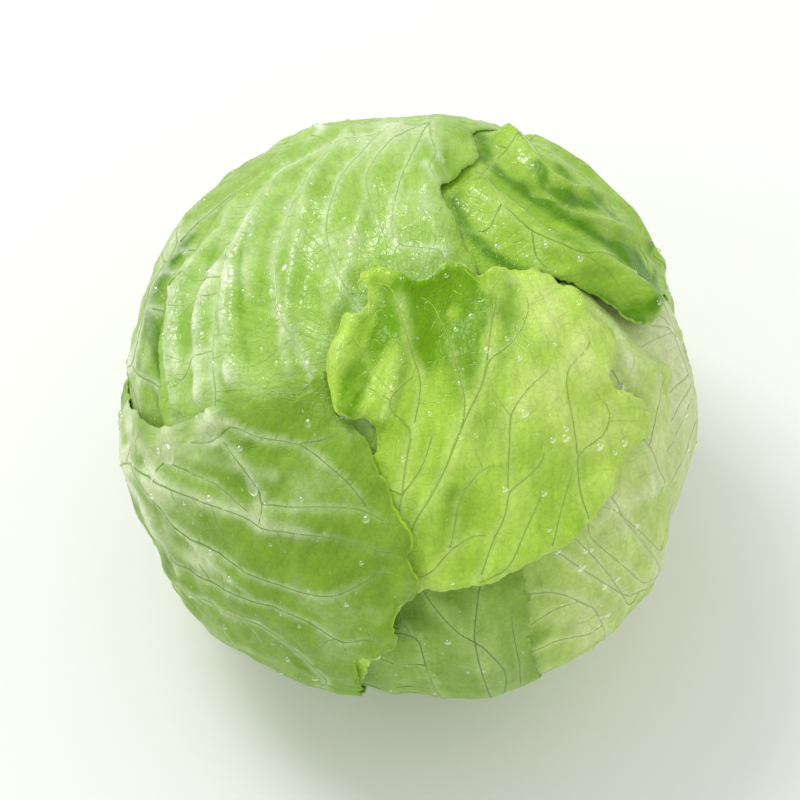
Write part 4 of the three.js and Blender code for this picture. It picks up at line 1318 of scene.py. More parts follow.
@dataclass
class Head:
    """The heart's surface and how the leaves lie over it and over each other.

    Attributes:
        leaves: The leaves, innermost first.
        across: The heart's radius.
        up: Its reach above the middle.
        down: Its reach below the middle.
        squareness: Its form's power, 2 for an ellipsoid and more for a squarer one.
        lump: How high its lumps are.
        lean: How far it lies lower in the picture.
        step: From each layer to the next.
        drape: How far past a rim the leaf over it stays lifted, and how far it takes to come down.
        clear: How far past the upper leaf's rim the lower one stays smooth, and how far that takes to end.
        crossing: A point of the line where two leaves cross, right and up, and that line's half width.
    """

    leaves: list[Leaf]
    across: float = 76.0
    up: float = 74.0
    down: float = 63.0
    squareness: float = 2.15
    lump: float = 0.9
    lean: float = 2.3
    step: float = 1.6
    drape: tuple[float, float] = (1.5, 13.0)
    clear: tuple[float, float] = (1.0, 5.0)
    crossing: tuple[float, float, float] = (-13.5, -4.7, 2.0)

    def heart(self, directions: Array) -> Array:
        """Measures from the middle to the heart's surface.

        Args:
            directions: Where.

        Returns:
            The distances.
        """
        power = self.squareness
        tall = np.where(directions[:, 2] > 0, self.up, self.down)
        side = (np.hypot(directions[:, 0], directions[:, 1]) / self.across) ** power
        reach = (side + (np.abs(directions[:, 2]) / tall) ** power) ** (-1 / power)
        x, y, z = directions.T
        lumps = np.sin(4.1 * x + 1.3) * np.sin(3.7 * y + 0.4) + np.sin(5.3 * z + 2 * x + 0.9)
        reach += self.lump * lumps - self.lean * (directions @ VIEW.up)
        return reach + sum(bulge.at(directions) for bulge in BULGES)

    def lies_over(self, upper: Leaf, lower: Leaf, directions: Array) -> Array:
        """Finds the share of the lower leaf's step that lifts the upper leaf.

        The left leaf and the front leaf cross: each lies over the other on its own side of a line.

        Args:
            upper: The leaf that may lie over.
            lower: The leaf that may lie under.
            directions: Where.

        Returns:
            The share, from 0 to 1.
        """
        pair = {upper.plan.order, lower.plan.order}
        if pair == {Order.LEFT, Order.FRONT}:
            right, above, blend = self.crossing
            rise = directions @ VIEW.up * HEAD_RADIUS - above
            side = directions @ VIEW.right * HEAD_RADIUS - right - rise
            share = smooth(side * math.sqrt(0.5), -blend, blend)
            return share if upper.plan.order is Order.LEFT else 1 - share
        return np.full(len(directions), float(upper.plan.order.value > lower.plan.order.value))

    def sheet(self, leaf: Leaf, directions: Array) -> tuple[Array, Array, Array]:
        """Measures from the middle to a leaf's middle surface.

        Args:
            leaf: The leaf.
            directions: Where.

        Returns:
            The distance, the share of the leaf that lies bare there, and where its crests are.
        """
        reach = self.heart(directions) + self.step
        bare = np.ones(len(directions))
        for other in self.leaves:
            if other is leaf:
                continue
            over = self.lies_over(leaf, other, directions)
            if over.max() > 0:
                reach += self.step * over * other.cover(directions, *self.drape)
            if over.min() < 1:
                bare *= 1 - (1 - over) * other.cover(directions, *self.clear)
        lift, crest = leaf.relief(directions)
        return reach + bare * lift, bare, crest * bare


@dataclass
class VeinTree:
    """The veins of one leaf, grown from the listed lines towards every part of the leaf.

    Attributes:
        leaf: The leaf.
        random: The source of chance.
        stride: From each point of a vein to the next.
        rounds: The rounds of growth, each how far apart its goals are and how close a vein has to come.
        longest: The most steps in a round, and the most newer points that a point's children are among.
        join: How close a placed vein has to start to another to be joined to it.
        apart: The least distance between a point's children.
        flow: How strongly veins are drawn away from the base.
        tip: A tip's thickness.
        thickening: The power with which thicknesses add up where veins meet.
        stoutest: The greatest thickness that they add up to.
        placed: A placed vein's least thickness at its start and at its end.
    """

    leaf: Leaf
    random: np.random.Generator
    stride: float = 2.2
    rounds: tuple[tuple[float, float], ...] = ((14.0, 8.0), (7.0, 4.2), (4.6, 3.0))
    longest: int = 400
    join: float = 9.0
    apart: float = 0.6
    flow: float = 0.55
    tip: float = 0.12
    thickening: float = 2.3
    stoutest: float = 0.46
    placed: tuple[float, float] = (0.3, 0.17)

    def __post_init__(self) -> None:
        """Grows the tree."""
        self.places: list[Array] = []
        self.parents: list[int] = []
        self.least: list[float] = []
        for line in self.leaf.plan.veins:
            self.plant(line)
        for apart, stop in self.rounds:
            self.grow(apart, stop)
        self.radii = self.thicknesses()

    def plant(self, line: tuple[Array, ...]) -> None:
        """Adds a listed vein, joined to the nearest vein that is close enough.

        Args:
            line: The directions that it passes through.
        """
        points = [unit(p) * HEAD_RADIUS for p in line]
        parent = -1
        if self.places:
            gaps = np.linalg.norm(np.array(self.places) - points[0], axis=1)
            parent = int(gaps.argmin()) if gaps.min() < self.join else -1
        for part, (start, end) in enumerate(zip(points, points[1:])):
            count = max(1, round(float(np.linalg.norm(end - start)) / self.stride))
            for i in range(count):
                self.places.append(unit(start + (end - start) * i / count) * HEAD_RADIUS)
                self.parents.append(parent)
                share = (part + i / count) / (len(points) - 1)
                self.least.append(self.placed[0] + (self.placed[1] - self.placed[0]) * share)
                parent = len(self.places) - 1

    def grow(self, apart: float, stop: float) -> None:
        """Grows veins towards scattered goals until each goal has one close by.

        Args:
            apart: How far apart the goals are.
            stop: How close a vein has to come.
        """
        goals = even_directions(apart)
        goals = unit(goals + self.random.normal(0, 0.3 * apart / HEAD_RADIUS, goals.shape))
        goals = goals[self.leaf.inside(goals)] * HEAD_RADIUS
        base = unit(self.leaf.plan.veins[0][0]) * HEAD_RADIUS
        nearest = np.full(len(goals), -1)
        gap = np.full(len(goals), np.inf)
        fresh = 0
        for _ in range(self.longest):
            for i in range(fresh, len(self.places)):
                away = np.linalg.norm(goals - self.places[i], axis=1)
                closer = away < gap
                gap[closer], nearest[closer] = away[closer], i
            fresh = len(self.places)
            keep = gap > stop
            goals, nearest, gap = goals[keep], nearest[keep], gap[keep]
            if not len(goals):
                break
            pull = {}
            for i in np.unique(nearest):
                mine = goals[nearest == i] - self.places[i]
                pull[int(i)] = unit(mine).sum(0)
            for i, way in pull.items():
                here = self.places[i]
                wish = unit(way) + unit(here - base) * self.flow
                ahead = unit(wish - unit(here) * float(wish @ unit(here)))
                there = unit(here + ahead * self.stride) * HEAD_RADIUS
                if min(np.linalg.norm(there - self.places[k]) for k in self.children(i) + [i]) > self.apart:
                    self.places.append(there)
                    self.parents.append(i)

    def children(self, index: int) -> list[int]:
        """Lists the points that a point leads to."""
        first = max(0, len(self.parents) - self.longest)
        return [k for k in range(first, len(self.parents)) if self.parents[k] == index]

    def thicknesses(self) -> Array:
        """Works out each point's thickness from the tips that it feeds.

        Returns:
            The thicknesses.
        """
        flow = np.zeros(len(self.places))
        for i in range(len(self.places) - 1, -1, -1):
            flow[i] = max(flow[i], self.tip**self.thickening)
            if self.parents[i] >= 0:
                flow[self.parents[i]] += flow[i]
        radii = np.minimum(flow ** (1 / self.thickening), self.stoutest)
        radii[: len(self.least)] = np.maximum(radii[: len(self.least)], self.least)
        return radii

    def chains(self) -> list[list[int]]:
        """Splits the tree into lines that run from a fork, or the base, to a tip.

        Returns:
            The lines, as point numbers.
        """
        heirs: dict[int, int] = {}
        for i, parent in enumerate(self.parents):
            if parent >= 0 and (parent not in heirs or self.radii[i] > self.radii[heirs[parent]]):
                heirs[parent] = i
        found = []
        for i, parent in enumerate(self.parents):
            if parent >= 0 and heirs[parent] == i:
                continue
            chain = [i] if parent < 0 else [parent, i]
            while chain[-1] in heirs:
                chain.append(heirs[chain[-1]])
            if len(chain) > 2:
                found.append(chain)
        return found


def new_object(
    name: str, points: Array, faces: Array | Faces, material: bpy.types.Material
) -> bpy.types.Object:
    """Makes a smooth mesh object in the scene.

    Args:
        name: Its name.
        points: Its corners in millimetres, from the head's middle.
        faces: The corner numbers of each face.
        material: Its material.

    Returns:
        The object.
    """
    mesh = bpy.data.meshes.new(name)
    placed = (np.asarray(points) + np.array([0.0, 0.0, MIDDLE_HEIGHT])) * MM
    mesh.from_pydata(placed.tolist(), [], [list(map(int, face)) for face in faces])
    mesh.materials.append(material)
    mesh.polygons.foreach_set("use_smooth", [True] * len(mesh.polygons))
    mesh.update()
    made = bpy.data.objects.new(name, mesh)
    bpy.context.scene.collection.objects.link(made)
    return made


def mark(piece: bpy.types.Object, name: str, values: Array) -> None:
    """Stores a number for each corner of a mesh.

    Args:
        piece: The object.
        name: The attribute's name, which a material reads.
        values: The numbers.
    """
    attribute = piece.data.attributes.new(name, "FLOAT", "POINT")
    attribute.data.foreach_set("value", np.asarray(values, np.float32))


def closed(triangles: Array, count: int) -> Array:
    """Closes a sheet: adds its inner face and the strip along its rim.

    Args:
        triangles: The outer face's triangles.
        count: How many corners it has. The inner face's corners come after them.

    Returns:
        The closed sheet's triangles.
    """
    sides = {}
    for a, b, c in triangles.tolist():
        for start, end in ((a, b), (b, c), (c, a)):
            if (end, start) in sides:
                del sides[(end, start)]
            else:
                sides[(start, end)] = True
    walls = []
    for start, end in sides:
        walls += [(start, count + end, end), (start, count + start, count + end)]
    return np.vstack([triangles, triangles[:, ::-1] + count, np.array(walls)])


@dataclass
class LeafMesh:
    """Builds one leaf as a thin closed sheet with raised veins.

    Attributes:
        leaf: The leaf's outline and folds.
        head: Where it lies.
        spacing: Between the points of its faces.
        thickness: In its middle.
        rim_thickness: At its rim.
        quilt: How far the blade swells between the veins.
        crumple: How far it is crumpled at random.
        scales: How fine the three layers of chance are that crumple it.
    """

    leaf: Leaf
    head: Head
    spacing: float = 1.4
    thickness: float = 0.8
    rim_thickness: float = 0.5
    quilt: float = 0.5
    crumple: float = 0.4
    scales: tuple[float, float, float] = (5.0, 13.0, 30.0)

    def __post_init__(self) -> None:
        """Grows the veins, whose places the blade's swelling needs."""
        order = self.leaf.plan.order.value
        self.tree = VeinTree(self.leaf, np.random.default_rng(40 + order))
        self.shift = Vector((3.7 * order, 1.3 * order, 0.0))
        self.finder = kdtree.KDTree(len(self.tree.places))
        for i, place in enumerate(self.tree.places):
            self.finder.insert(place, i)
        self.finder.balance()

    def surface(self, directions: Array) -> dict[str, Array]:
        """Measures the leaf's finished middle surface and what its colours depend on.

        Args:
            directions: Where.

        Returns:
            The arrays reach, bare, crest, vein, edge and blotch.
        """
        reach, bare, crest = self.head.sheet(self.leaf, directions)
        gap = np.empty(len(directions))
        thick = np.empty(len(directions))
        random = np.empty((len(directions), 3))
        for i, d in enumerate(directions):
            _, found, away = self.finder.find(d * HEAD_RADIUS)
            gap[i] = away
            thick[i] = self.tree.radii[found]
            at = Vector(d)
            random[i] = [noise.noise(at * scale + self.shift) for scale in self.scales]
        edge, _ = self.leaf.to_rim(directions)
        inner = smooth(edge, 0.0, 4.0)
        swell = self.quilt * (1 - np.exp(-((gap / 1.9) ** 2))) * (0.55 + 1.1 * random[:, 1])
        more = summed(self.leaf.plan.crumpled, directions, np.ones(len(directions)))
        rough = self.crumple * more * (random[:, 0] + 0.8 * random[:, 1] + 0.45 * random[:, 2])
        return {
            "reach": reach + bare * (swell * inner + rough),
            "bare": bare,
            "crest": crest,
            "vein": np.exp(-((gap / (0.9 + 1.6 * thick)) ** 2)) * smooth(thick, 0.12, 0.3),
            "edge": edge,
            "blotch": random[:, 1],
        }

    def net(self) -> tuple[Array, Array, int]:
        """Spreads the blade's points and joins them into triangles.

        Returns:
            The points as directions, the triangles, and how many points are on the rim, which come first.
        """
        leaf = self.leaf
        border = leaf.rim(leaf.edge_step)
        spread = even_directions(self.spacing)
        angle = np.arccos(np.clip(spread @ leaf.middle, -1, 1))
        spread = spread[angle < leaf.widest + 0.02]
        on_veins = unit(np.array(self.tree.places))
        clear = [self.finder.find(d * HEAD_RADIUS)[2] > 0.6 * self.spacing for d in spread]
        spread = np.vstack([on_veins, spread[clear]])
        off, _ = leaf.to_rim(spread)
        spread = spread[leaf.inside(spread) & (off > 0.9)]
        flat = leaf.flat(np.vstack([border, spread]))
        loop = [(i, (i + 1) % len(border)) for i in range(len(border))]
        placed, _, faces, *_ = delaunay_2d_cdt([Vector(p) for p in flat], loop, [], 1, 1e-7)
        return leaf.lifted(np.array([tuple(p) for p in placed])), np.array(faces), len(border)

    def colours(self, directions: Array, at: dict[str, Array]) -> dict[str, Array]:
        """Works out what the blade's material reads.

        Args:
            directions: The blade's points.
            at: Its surface there.

        Returns:
            The attributes deep, pale, vein, edge, glow, fan and out.
        """
        plan, blotch = self.leaf.plan, 0.8 + 1.1 * at["blotch"]
        base = smooth(-directions[:, 2], 0.74, 0.93)
        deep = summed(plan.deep, directions, np.zeros(len(directions))) * blotch
        pale = summed(plan.pale, directions, 0.85 * base) * blotch
        fan, out = self.leaf.fan(directions)
        return {
            # Shade painted along the folds is added to the deep green.
            "deep": summed(plan.crease_shade, directions * HEAD_RADIUS, deep),
            # The crests' pale is partly the ribs' own tone and partly a painted highlight.
            "pale": pale + at["crest"] * (0.8 + 0.8 * at["blotch"]),
            "vein": at["vein"],
            "edge": at["edge"],
            "glow": summed(plan.glow, directions, np.zeros(len(directions))),
            "fan": fan,
            "out": out,
        }

    def blade(self) -> tuple[bpy.types.Object, Array]:
        """Builds the closed sheet.

        Returns:
            The object, and the outer faces' corners that lie bare, three rows a face.
        """
        plan = self.leaf.plan
        directions, triangles, rim_count = self.net()
        at = self.surface(directions)
        half = np.full(len(directions), self.thickness / 2)
        half[:rim_count] = self.rim_thickness / 2
        outer = directions * (at["reach"] + half)[:, None]
        inner = directions * (at["reach"] - half)[:, None]
        every = closed(triangles, len(directions))
        material = plan.finish.tissue(plan.name)
        piece = new_object(f"blade_{plan.short_name}", np.vstack([outer, inner]), every, material)
        for name, values in self.colours(directions, at).items():
            mark(piece, name, np.tile(values, 2))
        bare = triangles[(at["bare"][triangles].min(1) > 0.9) & (at["edge"][triangles].min(1) > 1.5)]
        return piece, outer[bare.ravel()]

    def ridge(self, places: Array, radii: Array) -> tuple[Array, Faces]:
        """Builds one raised vein as a closed ridge on the outer face.

        Args:
            places: The points of its line.
            radii: Its thickness at each.

        Returns:
            Its corners, four a point, and its faces.
        """
        directions = unit(places)
        at = self.surface(directions)
        across = unit(np.cross(np.gradient(directions, axis=0), directions))
        side = across * (0.4 * radii + 0.06)[:, None]
        high = np.minimum(0.42 * radii + 0.05, np.where(at["bare"] > 0.9, 0.55, 0.2))
        outer = at["reach"] + self.thickness / 2
        top, low = directions * (outer + high)[:, None], directions * (outer - 0.3)[:, None]
        corners = np.stack([low - 1.5 * side, top - 0.55 * side, top + 0.55 * side, low + 1.5 * side], axis=1)
        faces = [(0, 1, 2, 3)]
        for i in range(0, 4 * len(places) - 4, 4):
            faces += [(i + k, i + k + 4, i + (k + 1) % 4 + 4, i + (k + 1) % 4) for k in range(4)]
        last = 4 * len(places) - 4
        faces.append((last + 3, last + 2, last + 1, last))
        return corners.reshape(-1, 3), faces

    def veins(self) -> bpy.types.Object:
        """Builds the raised veins wherever their lines are on the leaf.

        Returns:
            The veins as one mesh.
        """
        tree, leaf = self.tree, self.leaf
        points, faces, stout = [], [], []
        places = np.array(tree.places)
        for chain in tree.chains():
            line = places[chain].copy()
            for _ in range(3):
                line[1:-1] = 0.25 * line[:-2] + 0.5 * line[1:-1] + 0.25 * line[2:]
            radii = tree.radii[chain].copy()
            radii[0] = min(radii[0], radii[1])
            off, _ = leaf.to_rim(unit(line))
            # Veins are left out where the shade painted along the folds is strong.
            shade = summed(leaf.plan.crease_shade, unit(line) * HEAD_RADIUS, np.zeros(len(line)))
            visible = leaf.inside(unit(line)) & (off > 0.8) & (shade < 0.75)
            for run in np.split(np.arange(len(chain)), np.nonzero(np.diff(visible))[0] + 1):
                if len(run) < 3 or not visible[run[0]]:
                    continue
                thinner = 0.45 + 0.55 * np.minimum(1, (len(run) - np.arange(len(run))) / 3)
                corners, sides = self.ridge(line[run], radii[run] * thinner)
                faces += [tuple(len(points) + k for k in side) for side in sides]
                points += list(corners)
                stout += list(np.repeat(np.clip((radii[run] - 0.12) / 0.34, 0, 1), 4))
        material = leaf.plan.finish.veining(leaf.plan.name)
        piece = new_object(f"veins_{leaf.plan.short_name}", np.array(points), faces, material)
        mark(piece, "stout", np.array(stout))
        return piece


@dataclass
class Heart:
    """The dense ball of inner leaves.

    Attributes:
        head: Whose surface it takes.
        edges: How many inner leaves' edges wind round it.
        turn: The angle from one edge's middle to the next.
        down: How far down those middles are.
        spread: How far each edge is from its middle, in radians.
        height: Of each edge's step.
        fade: The step's width.
        mouth: The angle round the stem that is left open.
        pit: How far from the middle the hole for the stem's core starts.
    """

    head: Head
    edges: int = 5
    turn: float = 137.5
    down: float = 62.0
    spread: float = 0.95
    height: float = 1.0
    fade: float = 4.0
    mouth: float = 16.0
    pit: float = 16.0

    def build(self) -> bpy.types.Object:
        """Builds and dresses the heart.

        Returns:
            The object.
        """
        shell = bmesh.new()
        bmesh.ops.create_icosphere(shell, subdivisions=7, radius=1.0)
        directions = unit(np.array([tuple(v.co) for v in shell.verts]))
        faces = [tuple(v.index for v in face.verts) for face in shell.faces]
        shell.free()
        reach = self.head.heart(directions)
        step = np.zeros(len(directions))
        for i in range(self.edges):
            middle = turned(i * self.turn, self.down)
            off = (np.arccos(np.clip(directions @ middle, -1, 1)) - self.spread) * HEAD_RADIUS
            step += self.height * (1 - smooth(off, 0, self.fade)) - self.height
        opening = directions[:, 2] < -math.cos(math.radians(self.mouth))
        reach = np.where(opening, self.pit, reach + step)
        piece = new_object("heart_ball", directions * reach[:, None], faces, self.material())
        mark(piece, "step", np.clip(-step / self.edges, 0, 1))
        return piece

    def material(self) -> bpy.types.Material:
        """Makes the pale green of leaves that the sun never reached.

        Returns:
            The material.
        """
        material, shader, make = new_material("heart tissue")
        place = make.place()
        cloud = make.noise(place, 40.0, 4.0)
        step = make.read("step")
        share = make.maths("ADD", make.ramp(cloud, 0.35, 0.7, 0.0, 0.7), make.times(step, 0.5), clamp=True)
        rib = make.noise(place, 160.0, 3.0)
        make.fill(
            shader,
            Base_Color=make.blend(share, linear(222, 232, 184), linear(188, 210, 128)),
            Normal=make.bump(rib, 0.5, 0.001),
            Roughness=0.4,
            Subsurface_Weight=0.3,
            Subsurface_Radius=(0.8, 1.0, 0.3),
            Subsurface_Scale=0.003,
        )
        return material


@dataclass
class Stem:
    """The cut stem, with its core inside the heart.

    Attributes:
        radius: At the cut.
        chamfer: Round the cut.
        shoulder: The height at which it narrows.
        core: The core's radius.
        top: The core's height.
        sides: Of the turned shape.
    """

    radius: float = 16.0
    chamfer: float = 1.5
    shoulder: float = 9.0
    core: float = 11.0
    top: float = 58.0
    sides: int = 96

    def profile(self) -> list[tuple[float, float]]:
        """Lists the outline's corners, from the cut's middle to the core's tip.

        Returns:
            Their radii and heights.
        """
        cut = [(r, 0.0) for r in np.linspace(2.0, self.radius - self.chamfer, 8)]
        round_off = [
            (self.radius - self.chamfer * (1 - math.sin(a)), self.chamfer * (1 - math.cos(a)))
            for a in np.linspace(0.3, math.pi / 2, 5)
        ]
        side = [(self.radius, h) for h in (4.0, 6.5, self.shoulder)]
        foot = (self.core, 2 * self.shoulder)
        neck = [foot, (self.core * 0.8, self.top * 0.7), (self.core * 0.4, self.top * 0.94)]
        return [*cut, *round_off, *side, *neck]

    def build(self) -> bpy.types.Object:
        """Builds and dresses the stem.

        Returns:
            The object.
        """
        rings = self.profile()
        points = [np.array([0.0, 0.0, 0.0])]
        for radius, height in rings:
            for i in range(self.sides):
                turn = 2 * math.pi * i / self.sides
                points.append(np.array([radius * math.cos(turn), radius * math.sin(turn), height]))
        points.append(np.array([0.0, 0.0, self.top]))
        tip = len(points) - 1
        faces = []
        for i in range(self.sides):
            after = (i + 1) % self.sides
            faces.append((0, 1 + after, 1 + i))
            for k in range(len(rings) - 1):
                low, high = 1 + k * self.sides, 1 + (k + 1) * self.sides
                faces.append((low + i, low + after, high + after, high + i))
            last = 1 + (len(rings) - 1) * self.sides
            faces.append((last + i, last + after, tip))
        placed = np.array(points) - np.array([0.0, 0.0, MIDDLE_HEIGHT])
        return new_object("stem_core", placed, faces, self.material())

    def material(self) -> bpy.types.Material:
        """Makes the cut stem's look: pale pith, a ring of sap vessels, and a rim that has begun to brown.

        Returns:
            The material.
        """
        material, shader, make = new_material("cut stem")
        place = make.place()
        flat = make.vector("MULTIPLY", place, _1=(1.0, 1.0, 0.0))["Vector"]
        radius = make.vector("LENGTH", flat)["Value"]
        cloud = make.noise(place, 240.0, 4.0)
        spread = make.maths("ADD", radius, make.times(cloud, 0.003))
        ring = make.times(make.ramp(spread, 0.009, 0.0105), make.ramp(spread, 0.0135, 0.0115))
        rim = make.ramp(spread, 0.0145, 0.0178)
        colour = make.blend(make.times(ring, 0.55), linear(228, 226, 190), linear(196, 170, 112))
        colour = make.blend(make.times(rim, 0.65), colour, linear(178, 134, 84))
        height = make.add("ShaderNodeSeparateXYZ", None, Vector=place).outputs["Z"]
        side = make.ramp(height, 0.001, 0.004)
        make.fill(
            shader,
            Base_Color=make.blend(side, colour, linear(222, 228, 186)),
            Normal=make.bump(cloud, 0.4, 0.0006),
            Roughness=0.55,
            Subsurface_Weight=0.2,
            Subsurface_Scale=0.002,
        )
        return material


@dataclass
class Dew:
    """Water drops on the bare outsides of the leaves.

    Attributes:
        lamp: The place in metres of the lamp that they mirror, whose highlight is also painted on them.
        density: Drops to a square millimetre.
        smallest: The smallest drop's radius.
        largest: The largest drop's radius.
        flatness: A drop's height over its width.
        seed: Where chance starts.
        rounds: A larger drop's rings of faces, and the faces in each.
        placed: Larger drops that the photo shows, each its place right and up, half its length and half its
            width.
    """

    lamp: tuple[float, float, float]
    density: float = 0.009
    smallest: float = 0.3
    largest: float = 1.2
    flatness: float = 0.55
    seed: int = 11
    rounds: tuple[int, int] = (14, 24)
    placed: tuple[tuple[float, float, float, float], ...] = (
        (-62, -12.7, 3.2, 2.3), (-41.9, -20.9, 3.4, 1.7), (-10.5, -66.9, 2.6, 1.7), (-56.3, 36.9, 1.1, 0.9),
        (-36, 38.7, 1.7, 1.1), (-54.2, 10.7, 1.4, 0.9), (-29.9, 11.6, 1.0, 0.9), (-37.7, 11.6, 0.8, 0.7),
        (-61.5, 30, 0.7, 0.5), (-47.3, 32, 0.6, 0.5), (-55.8, -4.4, 1.6, 0.7), (-53.3, -8.6, 1.9, 0.8),
        (-28.5, -5.4, 1.3, 1.1), (-45.5, 47.9, 0.9, 0.7), (31, -2.4, 1.3, 1.2), (50.3, -11.3, 1.2, 1.1),
        (56.7, -10.3, 1.2, 1.0), (57.8, 4.6, 1.1, 0.9), (36, -24.1, 1.0, 0.9), (36.5, -33.3, 0.7, 0.6),
        (40.2, -40.2, 0.9, 0.7), (46.1, -44.3, 1.5, 1.1), (49.3, -39.7, 0.8, 0.7), (41.5, -9, 1.2, 1.1),
        (44.3, 26.8, 0.8, 0.7), (60.3, -32.4, 1.0, 0.9), (17.5, 25, 1.2, 0.8), (13.5, -9.2, 0.6, 0.5),
        (17.9, -8.5, 0.6, 0.5), (38.1, 46.9, 0.8, 0.6), (26.4, 50.4, 0.7, 0.6), (35.8, 59.8, 0.7, 0.5),
        (52.4, 25.6, 0.8, 0.6),
    )

    def material(self) -> bpy.types.Material:
        """Makes clear water, painted darker along a drop's edge and bright where it mirrors the lamp or faces
        away.

        Returns:
            The material.
        """
        material, shader, make = new_material("water drop")
        path = make.add("ShaderNodeLightPath").outputs
        either = make.maths("MAXIMUM", path["Is Shadow Ray"], path["Is Diffuse Ray"])
        # Painted shade: the base colour darkens towards a drop's edge.
        turned_away = make.add("ShaderNodeLayerWeight", None, Blend=0.5).outputs["Facing"]
        edge = make.ramp(turned_away, 0.3, 0.9)
        lamp = tuple(unit(np.array(self.lamp)))
        # Painted highlight: emission where the drop mirrors the lamp.
        mirrored = make.add("ShaderNodeTexCoord").outputs["Reflection"]
        painted_highlight = make.vector("DOT_PRODUCT", mirrored, _1=lamp)["Value"]
        # Painted glow: emission on the side that faces away from the lamp.
        normal = make.add("ShaderNodeNewGeometry").outputs["Normal"]
        glow = make.ramp(make.vector("DOT_PRODUCT", normal, _1=lamp)["Value"], 0.5, 0.0, 0.0, 0.22)
        make.fill(
            shader,
            Base_Color=make.blend(edge, WHITE, linear(104, 138, 62)),
            Emission_Color=WHITE,
            Emission_Strength=make.maths("ADD", make.ramp(painted_highlight, 0.9, 0.96), glow),
            Roughness=0.13,
            Transmission_Weight=0.94,
            Specular_IOR_Level=0.9,
            IOR=1.4,
        )
        clear = make.add("ShaderNodeBsdfTransparent").outputs[0]
        mix = make.add("ShaderNodeMixShader", None, _0=either, _1=shader.outputs[0], _2=clear).outputs[0]
        make.fill(material.node_tree.nodes["Material Output"], Surface=mix)
        return material

    def scatter(self, material: bpy.types.Material) -> bpy.types.NodeTree:
        """Makes the tree that sets drops on a mesh, upright on its faces.

        Args:
            material: The drops' material.

        Returns:
            A geometry node tree with the inputs Density, Smallest, Largest and Seed.
        """
        tree = bpy.data.node_groups.new("dew on leaves", "GeometryNodeTree")
        make = TreeMaker(tree)
        make.sockets("INPUT", "Geometry", "Geometry")
        make.sockets("INPUT", "Float", "Density", "Smallest", "Largest")
        make.sockets("INPUT", "Int", "Seed")
        make.sockets("OUTPUT", "Geometry", "Geometry")
        given = make.add("NodeGroupInput").outputs
        spots = make.add(
            "GeometryNodeDistributePointsOnFaces",
            None,
            Mesh=given["Geometry"],
            Density=given["Density"],
            Seed=given["Seed"],
        )
        ball = make.add("GeometryNodeMeshUVSphere", None, Segments=10, Rings=6, Radius=1.0)
        chance = make.add("FunctionNodeRandomValue", {"data_type": "FLOAT"}, Seed=given["Seed"])
        share = next(socket for socket in chance.outputs if socket.type == "VALUE" and socket.enabled)
        skewed = make.maths("POWER", share, 3.5)
        span = make.maths("SUBTRACT", given["Largest"], given["Smallest"])
        size = make.maths("ADD", given["Smallest"], make.times(skewed, span))
        tall = make.times(size, self.flatness)
        scale = make.add("ShaderNodeCombineXYZ", None, X=size, Y=size, Z=tall).outputs["Vector"]
        drops = make.add(
            "GeometryNodeInstanceOnPoints",
            None,
            Points=spots.outputs["Points"],
            Instance=ball.outputs["Mesh"],
            Rotation=spots.outputs["Rotation"],
            Scale=scale,
        )
        real = make.add("GeometryNodeRealizeInstances", None, Geometry=drops.outputs["Instances"])
        soft = make.add("GeometryNodeSetShadeSmooth", None, Geometry=real.outputs["Geometry"])
        wet = make.add("GeometryNodeSetMaterial", None, Geometry=soft.outputs["Geometry"], Material=material)
        make.add("NodeGroupOutput", None, Geometry=wet.outputs["Geometry"])
        return tree

    def build(self, bare: Array) -> bpy.types.Object:
        """Scatters the drops.

        Args:
            bare: The corners of the leaves' bare faces, three rows a face.

        Returns:
            The drops as one plain mesh.
        """
        material = self.material()
        piece = new_object("dew", bare, np.arange(len(bare)).reshape(-1, 3), material)
        modifier = piece.modifiers.new("drops", "NODES")
        modifier.node_group = self.scatter(material)
        given = {
            "Density": self.density / MM**2,
            "Smallest": self.smallest * MM,
            "Largest": self.largest * MM,
            "Seed": self.seed,
        }
        for item in modifier.node_group.interface.items_tree:
            if item.item_type == "SOCKET" and item.in_out == "INPUT" and item.name in given:
                modifier[item.identifier] = given[item.name]
        seen_mesh = piece.evaluated_get(bpy.context.evaluated_depsgraph_get())
        drops = bpy.data.meshes.new_from_object(seen_mesh)
        piece.modifiers.remove(modifier)
        piece.data = drops
        return piece

    def ball(self) -> tuple[Array, Faces]:
        """Builds a ball, whose corners are in the same order at each run.

        Returns:
            Its corners at a radius of one, and its faces.
        """
        rings, sides = self.rounds
        points = [(0.0, 0.0, 1.0)]
        for ring in range(1, rings):
            points += [tuple(turned(360 * side / sides, 180 * ring / rings)) for side in range(sides)]
        points.append((0.0, 0.0, -1.0))
        last = 1 + (rings - 2) * sides
        faces = []
        for i in range(sides):
            after = (i + 1) % sides
            faces.append((0, 1 + i, 1 + after))
            for high in range(1, last, sides):
                faces.append((high + i, high + sides + i, high + sides + after, high + after))
            faces.append((last + after, last + i, len(points) - 1))
        return np.array(points), faces

    def build_large(self, outside: Callable[[Array], Array]) -> bpy.types.Object:
        """Sets the larger drops.

        Args:
            outside: Finds the outermost surface's distance from the middle in each direction.

        Returns:
            The drops as one mesh.
        """
        ball, rounds = self.ball()
        points, faces = [], []
        for right, up, length, width in self.placed:
            direction = seen(right, up)
            along = unit(np.cross(direction, VIEW.towards + 0.3 * VIEW.right))
            aside = np.cross(direction, along)
            middle = direction * float(outside(direction[None])[0])
            first = len(points)
            sized = ball * np.array([length, width, 0.5 * width])
            points += list(middle + sized @ np.stack([along, aside, direction]))
            faces += [tuple(first + k for k in face) for face in rounds]
        return new_object("large_drops", np.array(points), faces, self.material())


